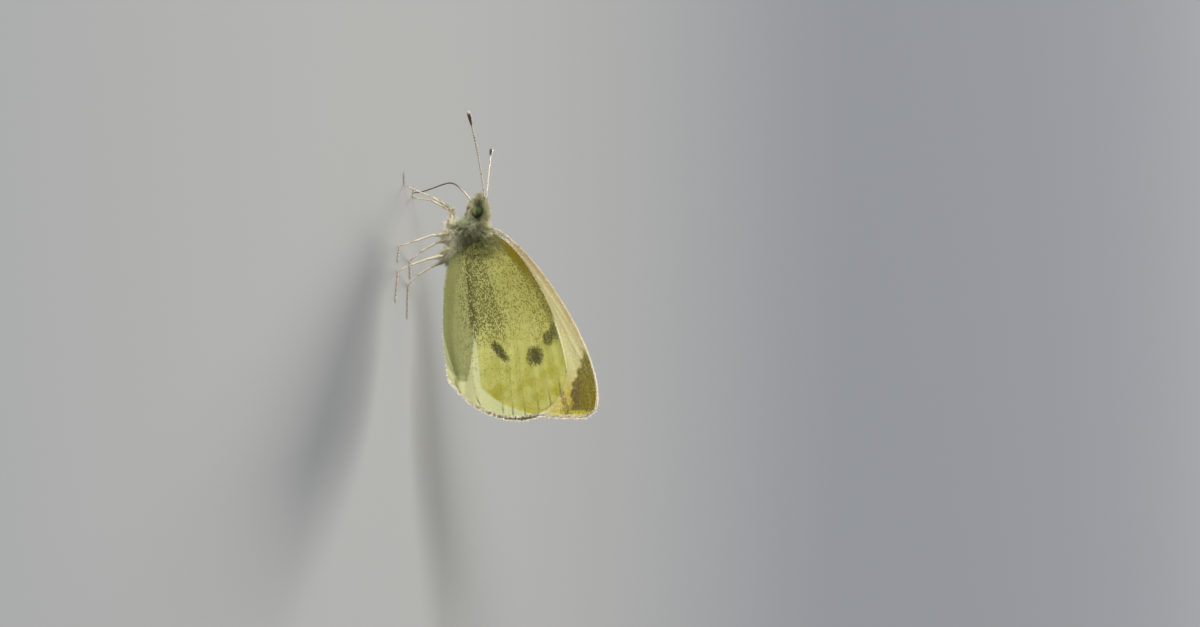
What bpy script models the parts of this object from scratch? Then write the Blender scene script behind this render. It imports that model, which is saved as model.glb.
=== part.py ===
"""A small white butterfly (cabbage white), life size, standing with its wings closed over its back.

Metres, +Z up. -X is the head, -Y the animal's left side. The soles lie at Z = 0.
Lengths below are in millimetres; every mesh is brought to metres as it is made.
"""

import math

import bmesh
import bpy
from mathutils import Matrix, Vector

# ---------------------------------------------------------------- driving dimensions
MM = 0.001
CENTRE_X = 3.87  # middle of the whole length, which becomes X = 0
GAP = 0.07  # clear space between pieces that touch
SIDES = {"left": -1.0, "right": 1.0}

WING_THICKNESS = 0.5
WING_GAP = 0.14
WING_HUG = 1.06  # the wings' inner faces stand this much wider than the body's outline
STEP_HEIGHT = 2.6  # the hindwing steps out over the forewing within this height below it
WING_MEETING = 1.9  # height where closed wings meet, in half-heights of the body below them
MEETING_SOFTNESS = 0.02  # rounds the line along which the wings meet
WING_GRID = (20, 16)  # cells from root to margin, and from costa to inner margin

EYE_CENTRE = Vector((-3.12, 1.07, 8.52))
EYE_RADII = Vector((0.70, 0.50, 0.74))

ANTENNA_ROOT = Vector((-4.88, 0.52, 9.05))
ANTENNA_TIP = Vector((-13.25, 7.20, 8.05))
ANTENNA_BOW = 0.45  # how far the shaft bows outward of a straight line

LEG_RADIUS = 0.27

# Body outlines: (x, height of the middle, half-height, half-width)
HEAD = (
    (-4.65, 8.30, 0.95, 0.78),
    (-4.35, 8.31, 1.24, 1.00),
    (-3.80, 8.33, 1.45, 1.16),
    (-3.10, 8.34, 1.55, 1.24),
    (-2.50, 8.28, 1.48, 1.18),
    (-2.16, 8.20, 1.36, 1.08),
)
THORAX = (
    (-2.09, 8.18, 1.40, 1.08),
    (-1.60, 7.98, 1.86, 1.36),
    (-0.70, 7.74, 2.20, 1.56),
    (0.40, 7.52, 2.18, 1.54),
    (1.60, 7.14, 1.98, 1.42),
    (2.60, 6.76, 1.74, 1.26),
)
ABDOMEN = (
    (2.67, 6.72, 1.72, 1.24),
    (5.50, 6.62, 1.78, 1.28),
    (8.50, 6.72, 1.75, 1.28),
    (11.10, 6.88, 1.60, 1.20),
    (13.40, 7.12, 1.15, 0.94),
    (15.30, 7.36, 0.66, 0.60),
    (16.20, 7.45, 0.34, 0.34),
)

# Wing margins seen from the side, (x, z) of each curve's four Bezier points.
FOREWING = {
    "costa": ((-0.95, 9.20), (-1.60, 13.60), (16.30, 26.35), (20.95, 22.86)),
    "outer": ((20.95, 22.86), (21.15, 18.40), (21.05, 13.30), (17.57, 9.96)),
    "inner": ((0.60, 8.55), (6.05, 8.10), (11.85, 9.20), (17.57, 9.96)),
}
HINDWING = {
    "costa": ((-0.60, 9.30), (-0.80, 13.85), (12.08, 20.11), (16.08, 19.75)),
    "outer": ((16.08, 19.75), (23.20, 19.05), (22.10, 10.55), (17.10, 6.85)),
    "inner": ((1.60, 6.90), (1.60, 4.40), (16.80, 4.95), (17.10, 6.85)),
}

# Legs, left side: (base of the femur, knee, ankle, heel, toe), as x, outward, z. Heel and toe are on the floor.
LEGS = {
    "fore": ((-1.15, 0.75, 5.12), (-3.15, 1.15, 5.85), (-4.60, 1.80, 3.30), (-5.85, 2.35, 0.0), (-7.15, 2.90, 0.0)),
    "mid": ((-0.38, 1.00, 5.12), (0.00, 1.90, 3.55), (0.95, 2.55, 1.60), (1.60, 2.90, 0.0), (3.50, 3.50, 0.0)),
    "hind": ((2.15, 0.90, 4.72), (2.85, 1.85, 3.10), (3.75, 2.45, 1.35), (4.50, 2.80, 0.0), (8.30, 3.40, 0.0)),
}
# Where each coxa leaves the thorax: x, and degrees round from the middle of the underside.
HIPS = {"fore": (-1.25, 25.0), "mid": (-0.25, 32.0), "hind": (1.55, 24.0)}
# The right legs stand a little further forward and lower at the knee and ankle.
RIGHT_KNEE_SHIFT = {"fore": (-0.70, 0.0, -0.85), "mid": (-0.25, 0.0, -0.30), "hind": (-0.20, 0.0, -0.20)}
COXA_RADIUS = 0.34
SHARP_BEND = math.radians(65.0)
FEMUR_RADII = (0.27, 0.33, 0.34, 0.30, 0.27)

PROBOSCIS = (
    (-4.86, 0.0, 7.42),
    (-5.73, 0.0, 6.60),
    (-6.62, 0.0, 5.62),
    (-6.84, 0.0, 4.90),
    (-6.68, 0.0, 4.10),
    (-6.38, 0.0, 3.30),
    (-6.08, 0.0, 2.50),
    (-5.80, 0.0, 1.60),
    (-5.66, 0.0, 0.75),
)
PROBOSCIS_PART = 4  # the point where its two lengths meet

# Finishes: colour, roughness
FINISHES = {
    "body_hair": ((0.62, 0.63, 0.50, 1.0), 0.85),
    "wing_scales": ((0.72, 0.73, 0.38, 1.0), 0.75),
    "eye_facets": ((0.16, 0.24, 0.10, 1.0), 0.25),
    "leg_scales": ((0.66, 0.62, 0.50, 1.0), 0.65),
    "antenna_scales": ((0.42, 0.36, 0.27, 1.0), 0.65),
}


# ---------------------------------------------------------------- tools of the making
def clear_scene():
    for old in list(bpy.data.objects):
        bpy.data.objects.remove(old, do_unlink=True)


def finish(name):
    """The material of one finish, made once."""
    material = bpy.data.materials.get(name)
    if material:
        return material
    colour, roughness = FINISHES[name]
    material = bpy.data.materials.new(name)
    material.use_nodes = True
    shader = material.node_tree.nodes["Principled BSDF"]
    shader.inputs["Base Color"].default_value = colour
    shader.inputs["Roughness"].default_value = roughness
    shader.inputs["Metallic"].default_value = 0.0
    return material


def add_object(name, mesh_maker, material):
    """A named object from a bmesh in millimetres, brought to metres and centred."""
    bmesh.ops.recalc_face_normals(mesh_maker, faces=mesh_maker.faces)
    to_metres = Matrix.Scale(MM, 4) @ Matrix.Translation((-CENTRE_X, 0.0, 0.0))
    mesh_maker.transform(to_metres)
    mesh = bpy.data.meshes.new(name)
    mesh_maker.to_mesh(mesh)
    mesh_maker.free()
    mesh.shade_smooth()
    mesh.set_sharp_from_angle(angle=math.radians(50.0))
    mesh.materials.append(finish(material))
    made = bpy.data.objects.new(name, mesh)
    bpy.context.scene.collection.objects.link(made)
    return made


def loft(rings):
    """A closed solid through rings of points, with a flat cap at each end."""
    made = bmesh.new()
    loops = [[made.verts.new(point) for point in ring] for ring in rings]
    for near, far in zip(loops, loops[1:]):
        for i in range(len(near)):
            j = (i + 1) % len(near)
            made.faces.new((near[i], near[j], far[j], far[i]))
    made.faces.new(loops[0])
    made.faces.new(loops[-1])
    return made


def between(table, x):
    """A row of a body outline at x, eased between the stations on either side."""
    x = min(max(x, table[0][0]), table[-1][0])
    for k in range(len(table) - 1):
        if x <= table[k + 1][0]:
            break
    before, after = table[max(k - 1, 0)], table[min(k + 2, len(table) - 1)]
    start, end = table[k], table[k + 1]
    span = end[0] - start[0]
    t = (x - start[0]) / span
    row = []
    for c in range(1, 4):
        leave = (end[c] - before[c]) / (end[0] - before[0]) * span
        arrive = (after[c] - start[c]) / (after[0] - start[0]) * span
        row.append(
            start[c] * (2 * t**3 - 3 * t**2 + 1)
            + leave * (t**3 - 2 * t**2 + t)
            + end[c] * (3 * t**2 - 2 * t**3)
            + arrive * (t**3 - t**2)
        )
    return row


def body_rings(table, count, points=16):
    """Oval rings across the body, closer together where its outline turns fast."""
    rings = []
    first, last = table[0][0], table[-1][0]
    for k in range(count + 1):
        x = first + (last - first) * 0.5 * (1 - math.cos(math.pi * k / count))
        middle, half_height, half_width = between(table, x)
        turn = [2 * math.pi * i / points for i in range(points)]
        rings.append([Vector((x, half_width * math.cos(a), middle + half_height * math.sin(a))) for a in turn])
    return rings


def tube_rings(path, radii, across, sides=8):
    """Rings along a path. Two of their sides stay square to the direction that lies across it."""
    rings = []
    for k, point in enumerate(path):
        ahead = path[min(k + 1, len(path) - 1)] - path[max(k - 1, 0)]
        side = across - ahead.normalized() * across.dot(ahead.normalized())
        side.normalize()
        up = side.cross(ahead).normalized()
        ring = []
        for i in range(sides):
            a = 2 * math.pi * (i + 0.5) / sides
            ring.append(point + radii[k] * (side * math.cos(a) + up * math.sin(a)))
        rings.append(ring)
    return rings


def bezier(points, t):
    a, b, c, d = (Vector(p) for p in points)
    return a * (1 - t) ** 3 + b * 3 * t * (1 - t) ** 2 + c * 3 * t * t * (1 - t) + d * t**3


# ---------------------------------------------------------------- head
def make_head():
    """The hairy head capsule with a socket for each eye."""
    head = add_object("head", loft(body_rings(HEAD, 8)), "body_hair")
    for side, sign in SIDES.items():
        socket = bmesh.new()
        bmesh.ops.create_icosphere(socket, subdivisions=2, radius=1.0)
        place = Vector((EYE_CENTRE.x, sign * EYE_CENTRE.y, EYE_CENTRE.z))
        size = EYE_RADII + Vector((GAP, GAP, GAP))
        socket.transform(Matrix.Translation(place) @ Matrix.Diagonal((*size, 1.0)))
        cutter = add_object("socket_" + side, socket, "body_hair")
        cutter.hide_render = True
        cutter.display_type = "WIRE"
        cut = head.modifiers.new("socket_" + side, "BOOLEAN")
        cut.operation = "DIFFERENCE"
        cut.object = cutter


def make_eye(side, sign):
    eye = bmesh.new()
    bmesh.ops.create_icosphere(eye, subdivisions=2, radius=1.0)
    place = Vector((EYE_CENTRE.x, sign * EYE_CENTRE.y, EYE_CENTRE.z))
    eye.transform(Matrix.Translation(place) @ Matrix.Diagonal((*EYE_RADII, 1.0)))
    add_object("eye_" + side, eye, "eye_facets")


def make_palp(side, sign):
    """The hairy feeler beside the mouth, pointing forward and slightly up."""
    root = Vector((-4.90, sign * 0.44, 8.10))
    tip = Vector((-6.05, sign * 0.32, 8.60))
    path = [root.lerp(tip, k / 4) for k in range(5)]
    radii = (0.36, 0.38, 0.34, 0.26, 0.14)
    add_object("palp_" + side, loft(tube_rings(path, radii, Vector((0, 1, 0)))), "body_hair")


def make_proboscis():
    """The sucking tube, bowed forward and hanging to just above the floor, in two lengths."""
    points = [Vector(p) for p in PROBOSCIS]
    across = Vector((0, 1, 0))
    upper = points[: PROBOSCIS_PART + 1]
    lower = points[PROBOSCIS_PART:]
    start = lower[1] - lower[0]
    lower[0] = lower[0] + start.normalized() * 2 * GAP
    add_object("proboscis_upper", loft(tube_rings(upper, [LEG_RADIUS] * len(upper), across)), "leg_scales")
    add_object("proboscis_lower", loft(tube_rings(lower, [LEG_RADIUS] * len(lower), across)), "leg_scales")


def make_antenna(side, sign):
    """A thin shaft bowed outward, ending in a flat-tipped club."""
    root = Vector((ANTENNA_ROOT.x, sign * ANTENNA_ROOT.y, ANTENNA_ROOT.z))
    tip = Vector((ANTENNA_TIP.x, sign * ANTENNA_TIP.y, ANTENNA_TIP.z))
    outward = Vector((-0.6, sign * 0.8, 0.0))
    path, radii = [], []
    for k in range(13):
        t = k / 12
        path.append(root.lerp(tip, t) + outward * ANTENNA_BOW * math.sin(math.pi * t))
        club = max(0.0, (t - 0.84) / 0.16)
        radii.append(0.25 + 0.13 * math.sin(math.pi * min(club, 0.8) / 1.1))
    radii[-1] = 0.24
    add_object("antenna_" + side, loft(tube_rings(path, radii, Vector((0, 0, 1)), 8)), "antenna_scales")


# ---------------------------------------------------------------- body
def make_thorax():
    add_object("thorax", loft(body_rings(THORAX, 9)), "body_hair")


def make_abdomen():
    add_object("abdomen", loft(body_rings(ABDOMEN, 13)), "body_hair")


# ---------------------------------------------------------------- wings
def wing_spread(x, z):
    """Half-distance between closed wings: they hug the body's sides and meet in a straight line above it."""
    outline = THORAX if x < THORAX[-1][0] else ABDOMEN
    middle, half_height, half_width = between(outline, x)
    t = (z - middle) / half_height
    leave = 1 / WING_MEETING
    if t < -leave:
        across = (1 + leave * t) / math.sqrt(1 - leave**2)
    elif t < leave:
        across = math.sqrt(1 - t * t)
    else:
        across = (1 - leave * t) / math.sqrt(1 - leave**2)
    return WING_HUG * half_width * (across + math.sqrt(across**2 + MEETING_SOFTNESS)) / 2


def wing_point(wing, u, v):
    """(x, z) in a wing: u runs from the root to the outer margin, v from the costa to the inner margin."""
    costa, inner = bezier(wing["costa"], u), bezier(wing["inner"], u)
    outer = bezier(wing["outer"], v)
    root_costa, root_inner = Vector(wing["costa"][0]), Vector(wing["inner"][0])
    apex, tornus = Vector(wing["costa"][3]), Vector(wing["inner"][3])
    root = root_costa.lerp(root_inner, v)
    corners = root_costa.lerp(root_inner, v) * (1 - u) + apex.lerp(tornus, v) * u
    return costa * (1 - v) + inner * v + root * (1 - u) + outer * u - corners


def ease(t):
    t = min(max(t, 0.0), 1.0)
    return t * t * (3 - 2 * t)


def inner_face(layer, x, z):
    """Distance of a wing's inner face from the middle plane. The hindwing steps out over the forewing."""
    face = wing_spread(x, z) + WING_GAP / 2
    if layer == "hindwing":
        forewing_floor = bezier(FOREWING["inner"], min(max((x - 0.6) / 17.0, 0.0), 1.0)).y
        over_forewing = ease((z - forewing_floor + STEP_HEIGHT + 0.6) / STEP_HEIGHT)
        face += over_forewing * (WING_THICKNESS + WING_GAP)
    return face


def make_wing(name, layer, outline, sign):
    """A thin plate that follows the wing's curved middle surface."""
    cells_u, cells_v = WING_GRID
    made = bmesh.new()
    faces = []
    for depth in (0.0, WING_THICKNESS):
        grid = []
        for i in range(cells_u + 1):
            row = []
            for j in range(cells_v + 1):
                x, z = wing_point(outline, i / cells_u, j / cells_v)
                y = inner_face(layer, x, z) + depth
                row.append(made.verts.new((x, sign * y, z)))
            grid.append(row)
        faces.append(grid)
        for i in range(cells_u):
            for j in range(cells_v):
                made.faces.new((grid[i][j], grid[i + 1][j], grid[i + 1][j + 1], grid[i][j + 1]))
    near, far = faces
    rim = [(i, 0) for i in range(cells_u)] + [(cells_u, j) for j in range(cells_v)]
    rim += [(i, cells_v) for i in range(cells_u, 0, -1)] + [(0, j) for j in range(cells_v, 0, -1)]
    for (i, j), (k, m) in zip(rim, rim[1:] + rim[:1]):
        made.faces.new((near[i][j], near[k][m], far[k][m], far[i][j]))
    add_object(name, made, "wing_scales")


# ---------------------------------------------------------------- legs
def on_side(point, sign):
    return Vector((point[0], sign * point[1], point[2]))


def hip_of(pair, sign):
    """Where a coxa leaves the thorax, and the direction straight out from the skin there."""
    x, degrees = HIPS[pair]
    middle, half_height, half_width = between(THORAX, x)
    a = math.radians(degrees)
    skin = Vector((x, half_width * math.sin(a), middle - half_height * math.cos(a)))
    out = Vector((0, math.sin(a) / half_width, -math.cos(a) / half_height)).normalized()
    return on_side(skin, sign), on_side(out, sign)


def part_at_bend(bend, arriving, leaving, first_radius, second_radius):
    """The end of one tube and the start of the next. At a sharp bend the second runs past the first one's flat end."""
    turn = arriving.angle(leaving)
    if turn < SHARP_BEND:
        room = GAP / 2 + max(first_radius, second_radius) * math.tan(turn / 2)
        return bend - arriving * room, bend + leaving * room
    room = GAP + (second_radius + first_radius * abs(math.cos(turn))) / math.sin(turn)
    return bend - arriving * room, bend - leaving * second_radius


def make_leg(pair, side, sign):
    """Coxa, femur, tibia, and a tarsus whose last length lies flat on the floor."""
    base, knee, ankle, heel, toe = (Vector(p) for p in LEGS[pair])
    if side == "right":
        knee += Vector(RIGHT_KNEE_SHIFT[pair])
        ankle += Vector(RIGHT_KNEE_SHIFT[pair])
    base, knee, ankle, heel, toe = (on_side(p, sign) for p in (base, knee, ankle, heel, toe))
    sole = Vector((0, 0, LEG_RADIUS * math.cos(math.pi / 8)))
    heel, toe = heel + sole, toe + sole
    across = Vector((0, 1, 0))
    skin, out = hip_of(pair, sign)
    drop = (base - skin).normalized()
    lean = out.angle(drop)
    hip = skin + drop * (2 * GAP + COXA_RADIUS * math.sin(lean)) / math.cos(lean)
    thigh = (knee - base).normalized()
    shin = (ankle - knee).normalized()
    foot = (heel - ankle).normalized()
    coxa_end, femur_start = part_at_bend(base, drop, thigh, COXA_RADIUS, FEMUR_RADII[0])
    femur_end, tibia_start = part_at_bend(knee, thigh, shin, FEMUR_RADII[-1], LEG_RADIUS)
    tibia_end, tarsus_start = part_at_bend(ankle, shin, foot, LEG_RADIUS, LEG_RADIUS)

    coxa = loft(tube_rings([hip, coxa_end], (COXA_RADIUS,) * 2, across))
    add_object("_".join((pair, "coxa", side)), coxa, "body_hair")
    femur = loft(tube_rings([femur_start.lerp(femur_end, k / 4) for k in range(5)], FEMUR_RADII, across))
    add_object("_".join((pair, "femur", side)), femur, "leg_scales")
    tibia = loft(tube_rings([tibia_start, tibia_end], (LEG_RADIUS,) * 2, across))
    add_object("_".join((pair, "tibia", side)), tibia, "leg_scales")

    bend = heel - foot * 0.35
    past = heel + (toe - heel).normalized() * 0.35
    tarsus = loft(tube_rings([tarsus_start, bend, past, toe], (LEG_RADIUS,) * 4, sole.cross(toe - heel)))
    for vertex in tarsus.verts:
        vertex.co.z = max(vertex.co.z, 0.0)
    add_object("_".join((pair, "tarsus", side)), tarsus, "leg_scales")


# ---------------------------------------------------------------- the whole animal
clear_scene()
make_head()
make_thorax()
make_abdomen()
make_proboscis()
for side_name, side_sign in SIDES.items():
    make_eye(side_name, side_sign)
    make_palp(side_name, side_sign)
    make_antenna(side_name, side_sign)
    make_wing("forewing_" + side_name, "forewing", FOREWING, side_sign)
    make_wing("hindwing_" + side_name, "hindwing", HINDWING, side_sign)
    for pair_name in LEGS:
        make_leg(pair_name, side_name, side_sign)
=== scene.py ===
"""A small white butterfly, life size, standing on its feet with its wings closed over its back.

Shapes are worked out in millimetres in the animal's own drawing (x from head to tail, y to its right,
z up from the floor) and brought to the frame's metres when a piece is finished.
"""

import math

import bmesh
import bpy
import numpy as np
from mathutils import Matrix, Vector


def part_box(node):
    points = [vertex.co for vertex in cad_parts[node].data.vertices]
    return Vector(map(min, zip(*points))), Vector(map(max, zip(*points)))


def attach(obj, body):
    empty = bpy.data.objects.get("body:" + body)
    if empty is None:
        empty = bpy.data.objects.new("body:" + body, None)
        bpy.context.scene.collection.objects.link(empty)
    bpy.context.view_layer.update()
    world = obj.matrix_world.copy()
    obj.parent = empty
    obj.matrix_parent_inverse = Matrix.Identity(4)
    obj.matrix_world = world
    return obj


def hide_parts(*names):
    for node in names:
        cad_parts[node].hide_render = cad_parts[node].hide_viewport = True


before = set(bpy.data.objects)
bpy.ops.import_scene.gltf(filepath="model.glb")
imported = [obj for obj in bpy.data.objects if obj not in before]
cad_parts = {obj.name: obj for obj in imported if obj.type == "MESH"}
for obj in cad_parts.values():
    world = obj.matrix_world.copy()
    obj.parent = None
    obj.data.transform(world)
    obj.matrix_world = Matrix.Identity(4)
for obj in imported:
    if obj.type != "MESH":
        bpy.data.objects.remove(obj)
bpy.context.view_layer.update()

MM = 0.001
THORAX_FRONT = -2.09
DRAWING_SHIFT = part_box("thorax")[0].x - THORAX_FRONT * MM

# ---- Camera
# It looks at the left wings from a little behind and above, and lies on its side, so that the head is
# at the top of the view.
TURN, RISE = math.radians(16.0), math.radians(10.0)
CAMERA_AIM = (8.45, 22.425)  # along the floor and up, in the camera's own plane
CAMERA_DISTANCE, VIEW_WIDTH = 600.0, 138.0

along = Vector((math.cos(TURN), math.sin(TURN), 0))
back = Vector((math.sin(TURN) * math.cos(RISE), -math.cos(TURN) * math.cos(RISE), math.sin(RISE)))
upward = back.cross(along)
camera = bpy.data.objects.new("camera", bpy.data.cameras.new("camera"))
bpy.context.scene.collection.objects.link(camera)
bpy.context.scene.camera = camera
stand_point = along * CAMERA_AIM[0] + upward * CAMERA_AIM[1] + back * CAMERA_DISTANCE
stand_point = stand_point * MM + Vector((DRAWING_SHIFT, 0, 0))
camera.matrix_world = Matrix.Translation(stand_point) @ Matrix((upward, -along, back)).transposed().to_4x4()
camera.data.lens = camera.data.sensor_width * CAMERA_DISTANCE / VIEW_WIDTH
camera.data.clip_start, camera.data.clip_end = 0.02, 20.0

# ---- Floor, backdrop and light
# A plain pale floor, a little deeper in the distance, a broad lamp above and behind that shines through
# the wings, a soft one on the near side, and an even sky.


def tint(red, green, blue):
    """A colour from its 0 to 255 screen values."""
    linear = []
    for part in (red, green, blue):
        part /= 255
        linear.append(part / 12.92 if part < 0.04045 else ((part + 0.055) / 1.055) ** 2.4)
    return (*linear, 1.0)


def arithmetic(operation):
    """An operator's two methods: for a value on its left, and for a number there."""

    def forward(self, other):
        return self.tree.maths(operation, self, other)

    def reflected(self, other):
        return self.tree.maths(operation, other, self)

    return forward, reflected


class Value:
    """One output of a node tree. Arithmetic on it adds Math nodes."""

    def __init__(self, tree, socket):
        self.tree, self.socket = tree, socket

    __add__, __radd__ = arithmetic("ADD")
    __sub__, __rsub__ = arithmetic("SUBTRACT")
    __mul__, __rmul__ = arithmetic("MULTIPLY")
    __truediv__, __rtruediv__ = arithmetic("DIVIDE")


class Tree:
    """A node tree, and the one way nodes are added to it."""

    def __init__(self, tree):
        self.tree = tree

    def node(self, kind, settings=None, sockets=None, output=0):
        """Adds a node with its settings, then the values or links of its sockets."""
        made = self.tree.nodes.new(kind)
        for name, value in (settings or {}).items():
            setattr(made, name, value)
        for name, value in (sockets or {}).items():
            if isinstance(value, Value):
                self.tree.links.new(value.socket, made.inputs[name])
            else:
                made.inputs[name].default_value = value
        return Value(self, made.outputs[output]) if made.outputs else None

    def maths(self, operation, *values):
        return self.node("ShaderNodeMath", {"operation": operation}, dict(enumerate(values)))

    def vector_maths(self, operation, sockets, output="Vector"):
        return self.node("ShaderNodeVectorMath", {"operation": operation}, sockets, output)


class Finish(Tree):
    """A material whose colour is laid on layer by layer."""

    def __init__(self, name):
        self.material = bpy.data.materials.new(name)
        self.material.use_nodes = True
        super().__init__(self.material.node_tree)
        self.tree.nodes.clear()
        self.colour = None

    def place(self):
        """Where a point is, in the object's metres."""
        return self.node("ShaderNodeTexCoord", None, None, "Object")

    def attribute(self, name):
        return self.node("ShaderNodeAttribute", {"attribute_name": name}, output="Vector")

    def split(self, vector):
        parts = self.node("ShaderNodeSeparateXYZ", None, {0: vector})
        return [Value(self, parts.socket.node.outputs[axis]) for axis in range(3)]

    def step(self, value, low, high):
        """0 at low and 1 at high, with a soft edge between and no change outside."""
        sockets = {"Value": value, "From Min": low, "From Max": high}
        return self.node("ShaderNodeMapRange", {"interpolation_type": "SMOOTHSTEP"}, sockets)

    def most(self, first, second):
        return self.maths("MAXIMUM", first, second)

    def size_of(self, value):
        return self.maths("ABSOLUTE", value)

    def far(self, point, centre, stretch):
        """Distance of a point from a centre, with each direction stretched."""
        gap = self.vector_maths("ADD", {0: point, 1: tuple(-c for c in centre)})
        gap = self.vector_maths("MULTIPLY", {0: gap, 1: stretch})
        return self.vector_maths("LENGTH", {0: gap}, "Value")

    def noise(self, vector, scale, detail=2.0):
        return self.node("ShaderNodeTexNoise", None, {"Vector": vector, "Scale": scale, "Detail": detail})

    def mix(self, share, first, second):
        return self.node("ShaderNodeMix", {"data_type": "RGBA"}, {0: share, 6: first, 7: second}, 2)

    def over(self, share, colour):
        """Lays a share of a colour over the colour so far."""
        self.colour = self.mix(share, self.colour, colour)

    def bump(self, height, depth):
        return self.node("ShaderNodeBump", None, {"Height": height, "Distance": depth, "Strength": 1.0})

    def surface(self, roughness, normal=None, gloss=0.5, through=None, share=0.0):
        """Ends the material. Light also comes through a share of it, in the colour through."""
        sockets = {"Base Color": self.colour, "Roughness": roughness, "Specular IOR Level": gloss}
        if normal:
            sockets["Normal"] = normal
        shader = self.node("ShaderNodeBsdfPrincipled", None, sockets)
        if through:
            thin = self.node("ShaderNodeBsdfTranslucent", None, {"Color": through})
            shader = self.node("ShaderNodeMixShader", None, {0: share, 1: shader, 2: thin})
        self.node("ShaderNodeOutputMaterial", None, {0: shader})


FLOOR_SIZE, FLOOR_DEEPENS = 6.0, 0.42  # metres: its side, and how far out it has reached its far tone
floor_paint = Finish("floor_paint")
from_animal = floor_paint.vector_maths("LENGTH", {0: floor_paint.place()}, "Value")
floor_paint.colour = tint(170, 170, 168)
floor_paint.over(floor_paint.step(from_animal, 0.0, FLOOR_DEEPENS), tint(140, 143, 149))
floor_paint.surface(1.0, None, 0.0)
bpy.ops.mesh.primitive_plane_add(size=FLOOR_SIZE)
floor = bpy.context.object
floor.name = "floor"
floor.data.materials.append(floor_paint.material)


def lamp(name, place, target, width, power, colour):
    """A round soft lamp that looks at a target, in metres and watts."""
    made = bpy.data.objects.new(name, bpy.data.lights.new(name, "AREA"))
    made.data.shape = "DISK"
    made.data.size = width
    made.data.energy = power
    made.data.color = colour
    made.location = place
    made.rotation_euler = (Vector(target) - Vector(place)).to_track_quat("-Z", "Y").to_euler()
    bpy.context.scene.collection.objects.link(made)


lamp("shine_through", (-2.75, 4.73, 1.54), (0, 0, 0.010), 2.0, 590.0, (1.0, 0.97, 0.90))
lamp("near_side", (-1.15, -2.40, 0.85), (0, 0, 0.010), 1.5, 122.0, (0.98, 0.98, 1.0))
world = bpy.data.worlds.new("sky")
world.use_nodes = True
sky = world.node_tree.nodes["Background"]
sky.inputs["Color"].default_value = (0.80, 0.84, 0.90, 1.0)
sky.inputs["Strength"].default_value = 0.27
bpy.context.scene.world = world
bpy.context.scene.view_settings.view_transform = "Standard"

# ---- Body skin
# Head, neck, thorax, abdomen, palps and hips are one skin. It lies inside the outline of the animal by
# the depth of its coat. The abdomen has its rings.

# x, height of the middle, half-height, half-width, depth of the coat
BODY = np.array(
    (
        (-4.65, 8.30, 0.95, 0.78, 0.30),
        (-4.35, 8.31, 1.24, 1.00, 0.30),
        (-3.80, 8.33, 1.45, 1.16, 0.30),
        (-3.10, 8.34, 1.55, 1.24, 0.30),
        (-2.50, 8.28, 1.48, 1.18, 0.38),
        (-2.10, 8.19, 1.38, 1.08, 0.46),
        (-1.60, 7.98, 1.86, 1.36, 0.48),
        (-0.70, 7.74, 2.20, 1.56, 0.46),
        (0.40, 7.52, 2.18, 1.54, 0.42),
        (1.60, 7.14, 1.98, 1.42, 0.36),
        (2.62, 6.74, 1.73, 1.25, 0.26),
        (5.50, 6.62, 1.78, 1.28, 0.16),
        (8.50, 6.72, 1.75, 1.28, 0.16),
        (11.10, 6.88, 1.60, 1.20, 0.15),
        (13.40, 7.12, 1.15, 0.94, 0.14),
        (15.30, 7.36, 0.66, 0.60, 0.12),
        (16.20, 7.45, 0.34, 0.34, 0.10),
    )
)
RING_STARTS = (3.1, 5.2, 7.3, 9.3, 11.2, 12.9, 14.4)  # front edge of each abdomen ring
RING_STEP, RING_SPREAD = 0.05, 0.16
SKIN_GRAIN = 0.085  # size of the skin's faces
PALP_ROOT, PALP_TIP = (-4.55, 0.40, 8.12), (-5.20, 0.32, 8.44)
PALP_RADII = (0.20, 0.20, 0.20, 0.19, 0.17, 0.14, 0.10, 0.04)
HIPS = {"fore": (-1.25, 25.0), "mid": (-0.25, 32.0), "hind": (1.55, 24.0)}  # x, degrees out from below
HIP_RADII = (0.26, 0.27, 0.26, 0.24, 0.22, 0.15)
# How far each right leg's knee and ankle stand from where the left ones do
KNEE_SHIFT = {"fore": (-0.70, 0.0, -0.85), "mid": (-0.25, 0.0, -0.30), "hind": (-0.20, 0.0, -0.20)}
# Base of the femur, knee, ankle, heel and toe of the left legs, as x, outward, z
LEGS = {
    "fore": ((-1.15, 0.75, 5.12), (-3.15, 1.15, 5.85), (-4.60, 1.80, 3.30),
             (-5.85, 2.35, 0.0), (-7.15, 2.90, 0.0)),
    "mid": ((-0.38, 1.00, 5.12), (0.00, 1.90, 3.55), (0.95, 2.55, 1.60),
            (1.60, 2.90, 0.0), (3.50, 3.50, 0.0)),
    "hind": ((2.15, 0.90, 4.72), (2.85, 1.85, 3.10), (3.75, 2.45, 1.35),
             (4.50, 2.80, 0.0), (8.30, 3.40, 0.0)),
}


def eased(table, x):
    """Rows of a table at x, eased between the rows on either side."""
    x = np.clip(np.asarray(x, float), table[0, 0], table[-1, 0])
    k = np.clip(np.searchsorted(table[:, 0], x, side="right") - 1, 0, len(table) - 2)
    before, start = table[np.maximum(k - 1, 0)], table[k]
    end, after = table[k + 1], table[np.minimum(k + 2, len(table) - 1)]
    span = end[..., :1] - start[..., :1]
    t = (x[..., None] - start[..., :1]) / span
    leave = (end - before) / (end[..., :1] - before[..., :1]) * span
    arrive = (after - start) / (after[..., :1] - start[..., :1]) * span
    rows = start * (2 * t**3 - 3 * t**2 + 1) + leave * (t**3 - 2 * t**2 + t)
    rows = rows + end * (3 * t**2 - 2 * t**3) + arrive * (t**3 - t**2)
    return np.moveaxis(rows[..., 1:], -1, 0)


def soft_step(value, low, high):
    """0 below low and 1 above high, or the other way round, with a soft edge between."""
    t = np.clip((value - low) / (high - low), 0.0, 1.0)
    return t * t * (3 - 2 * t)


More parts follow.
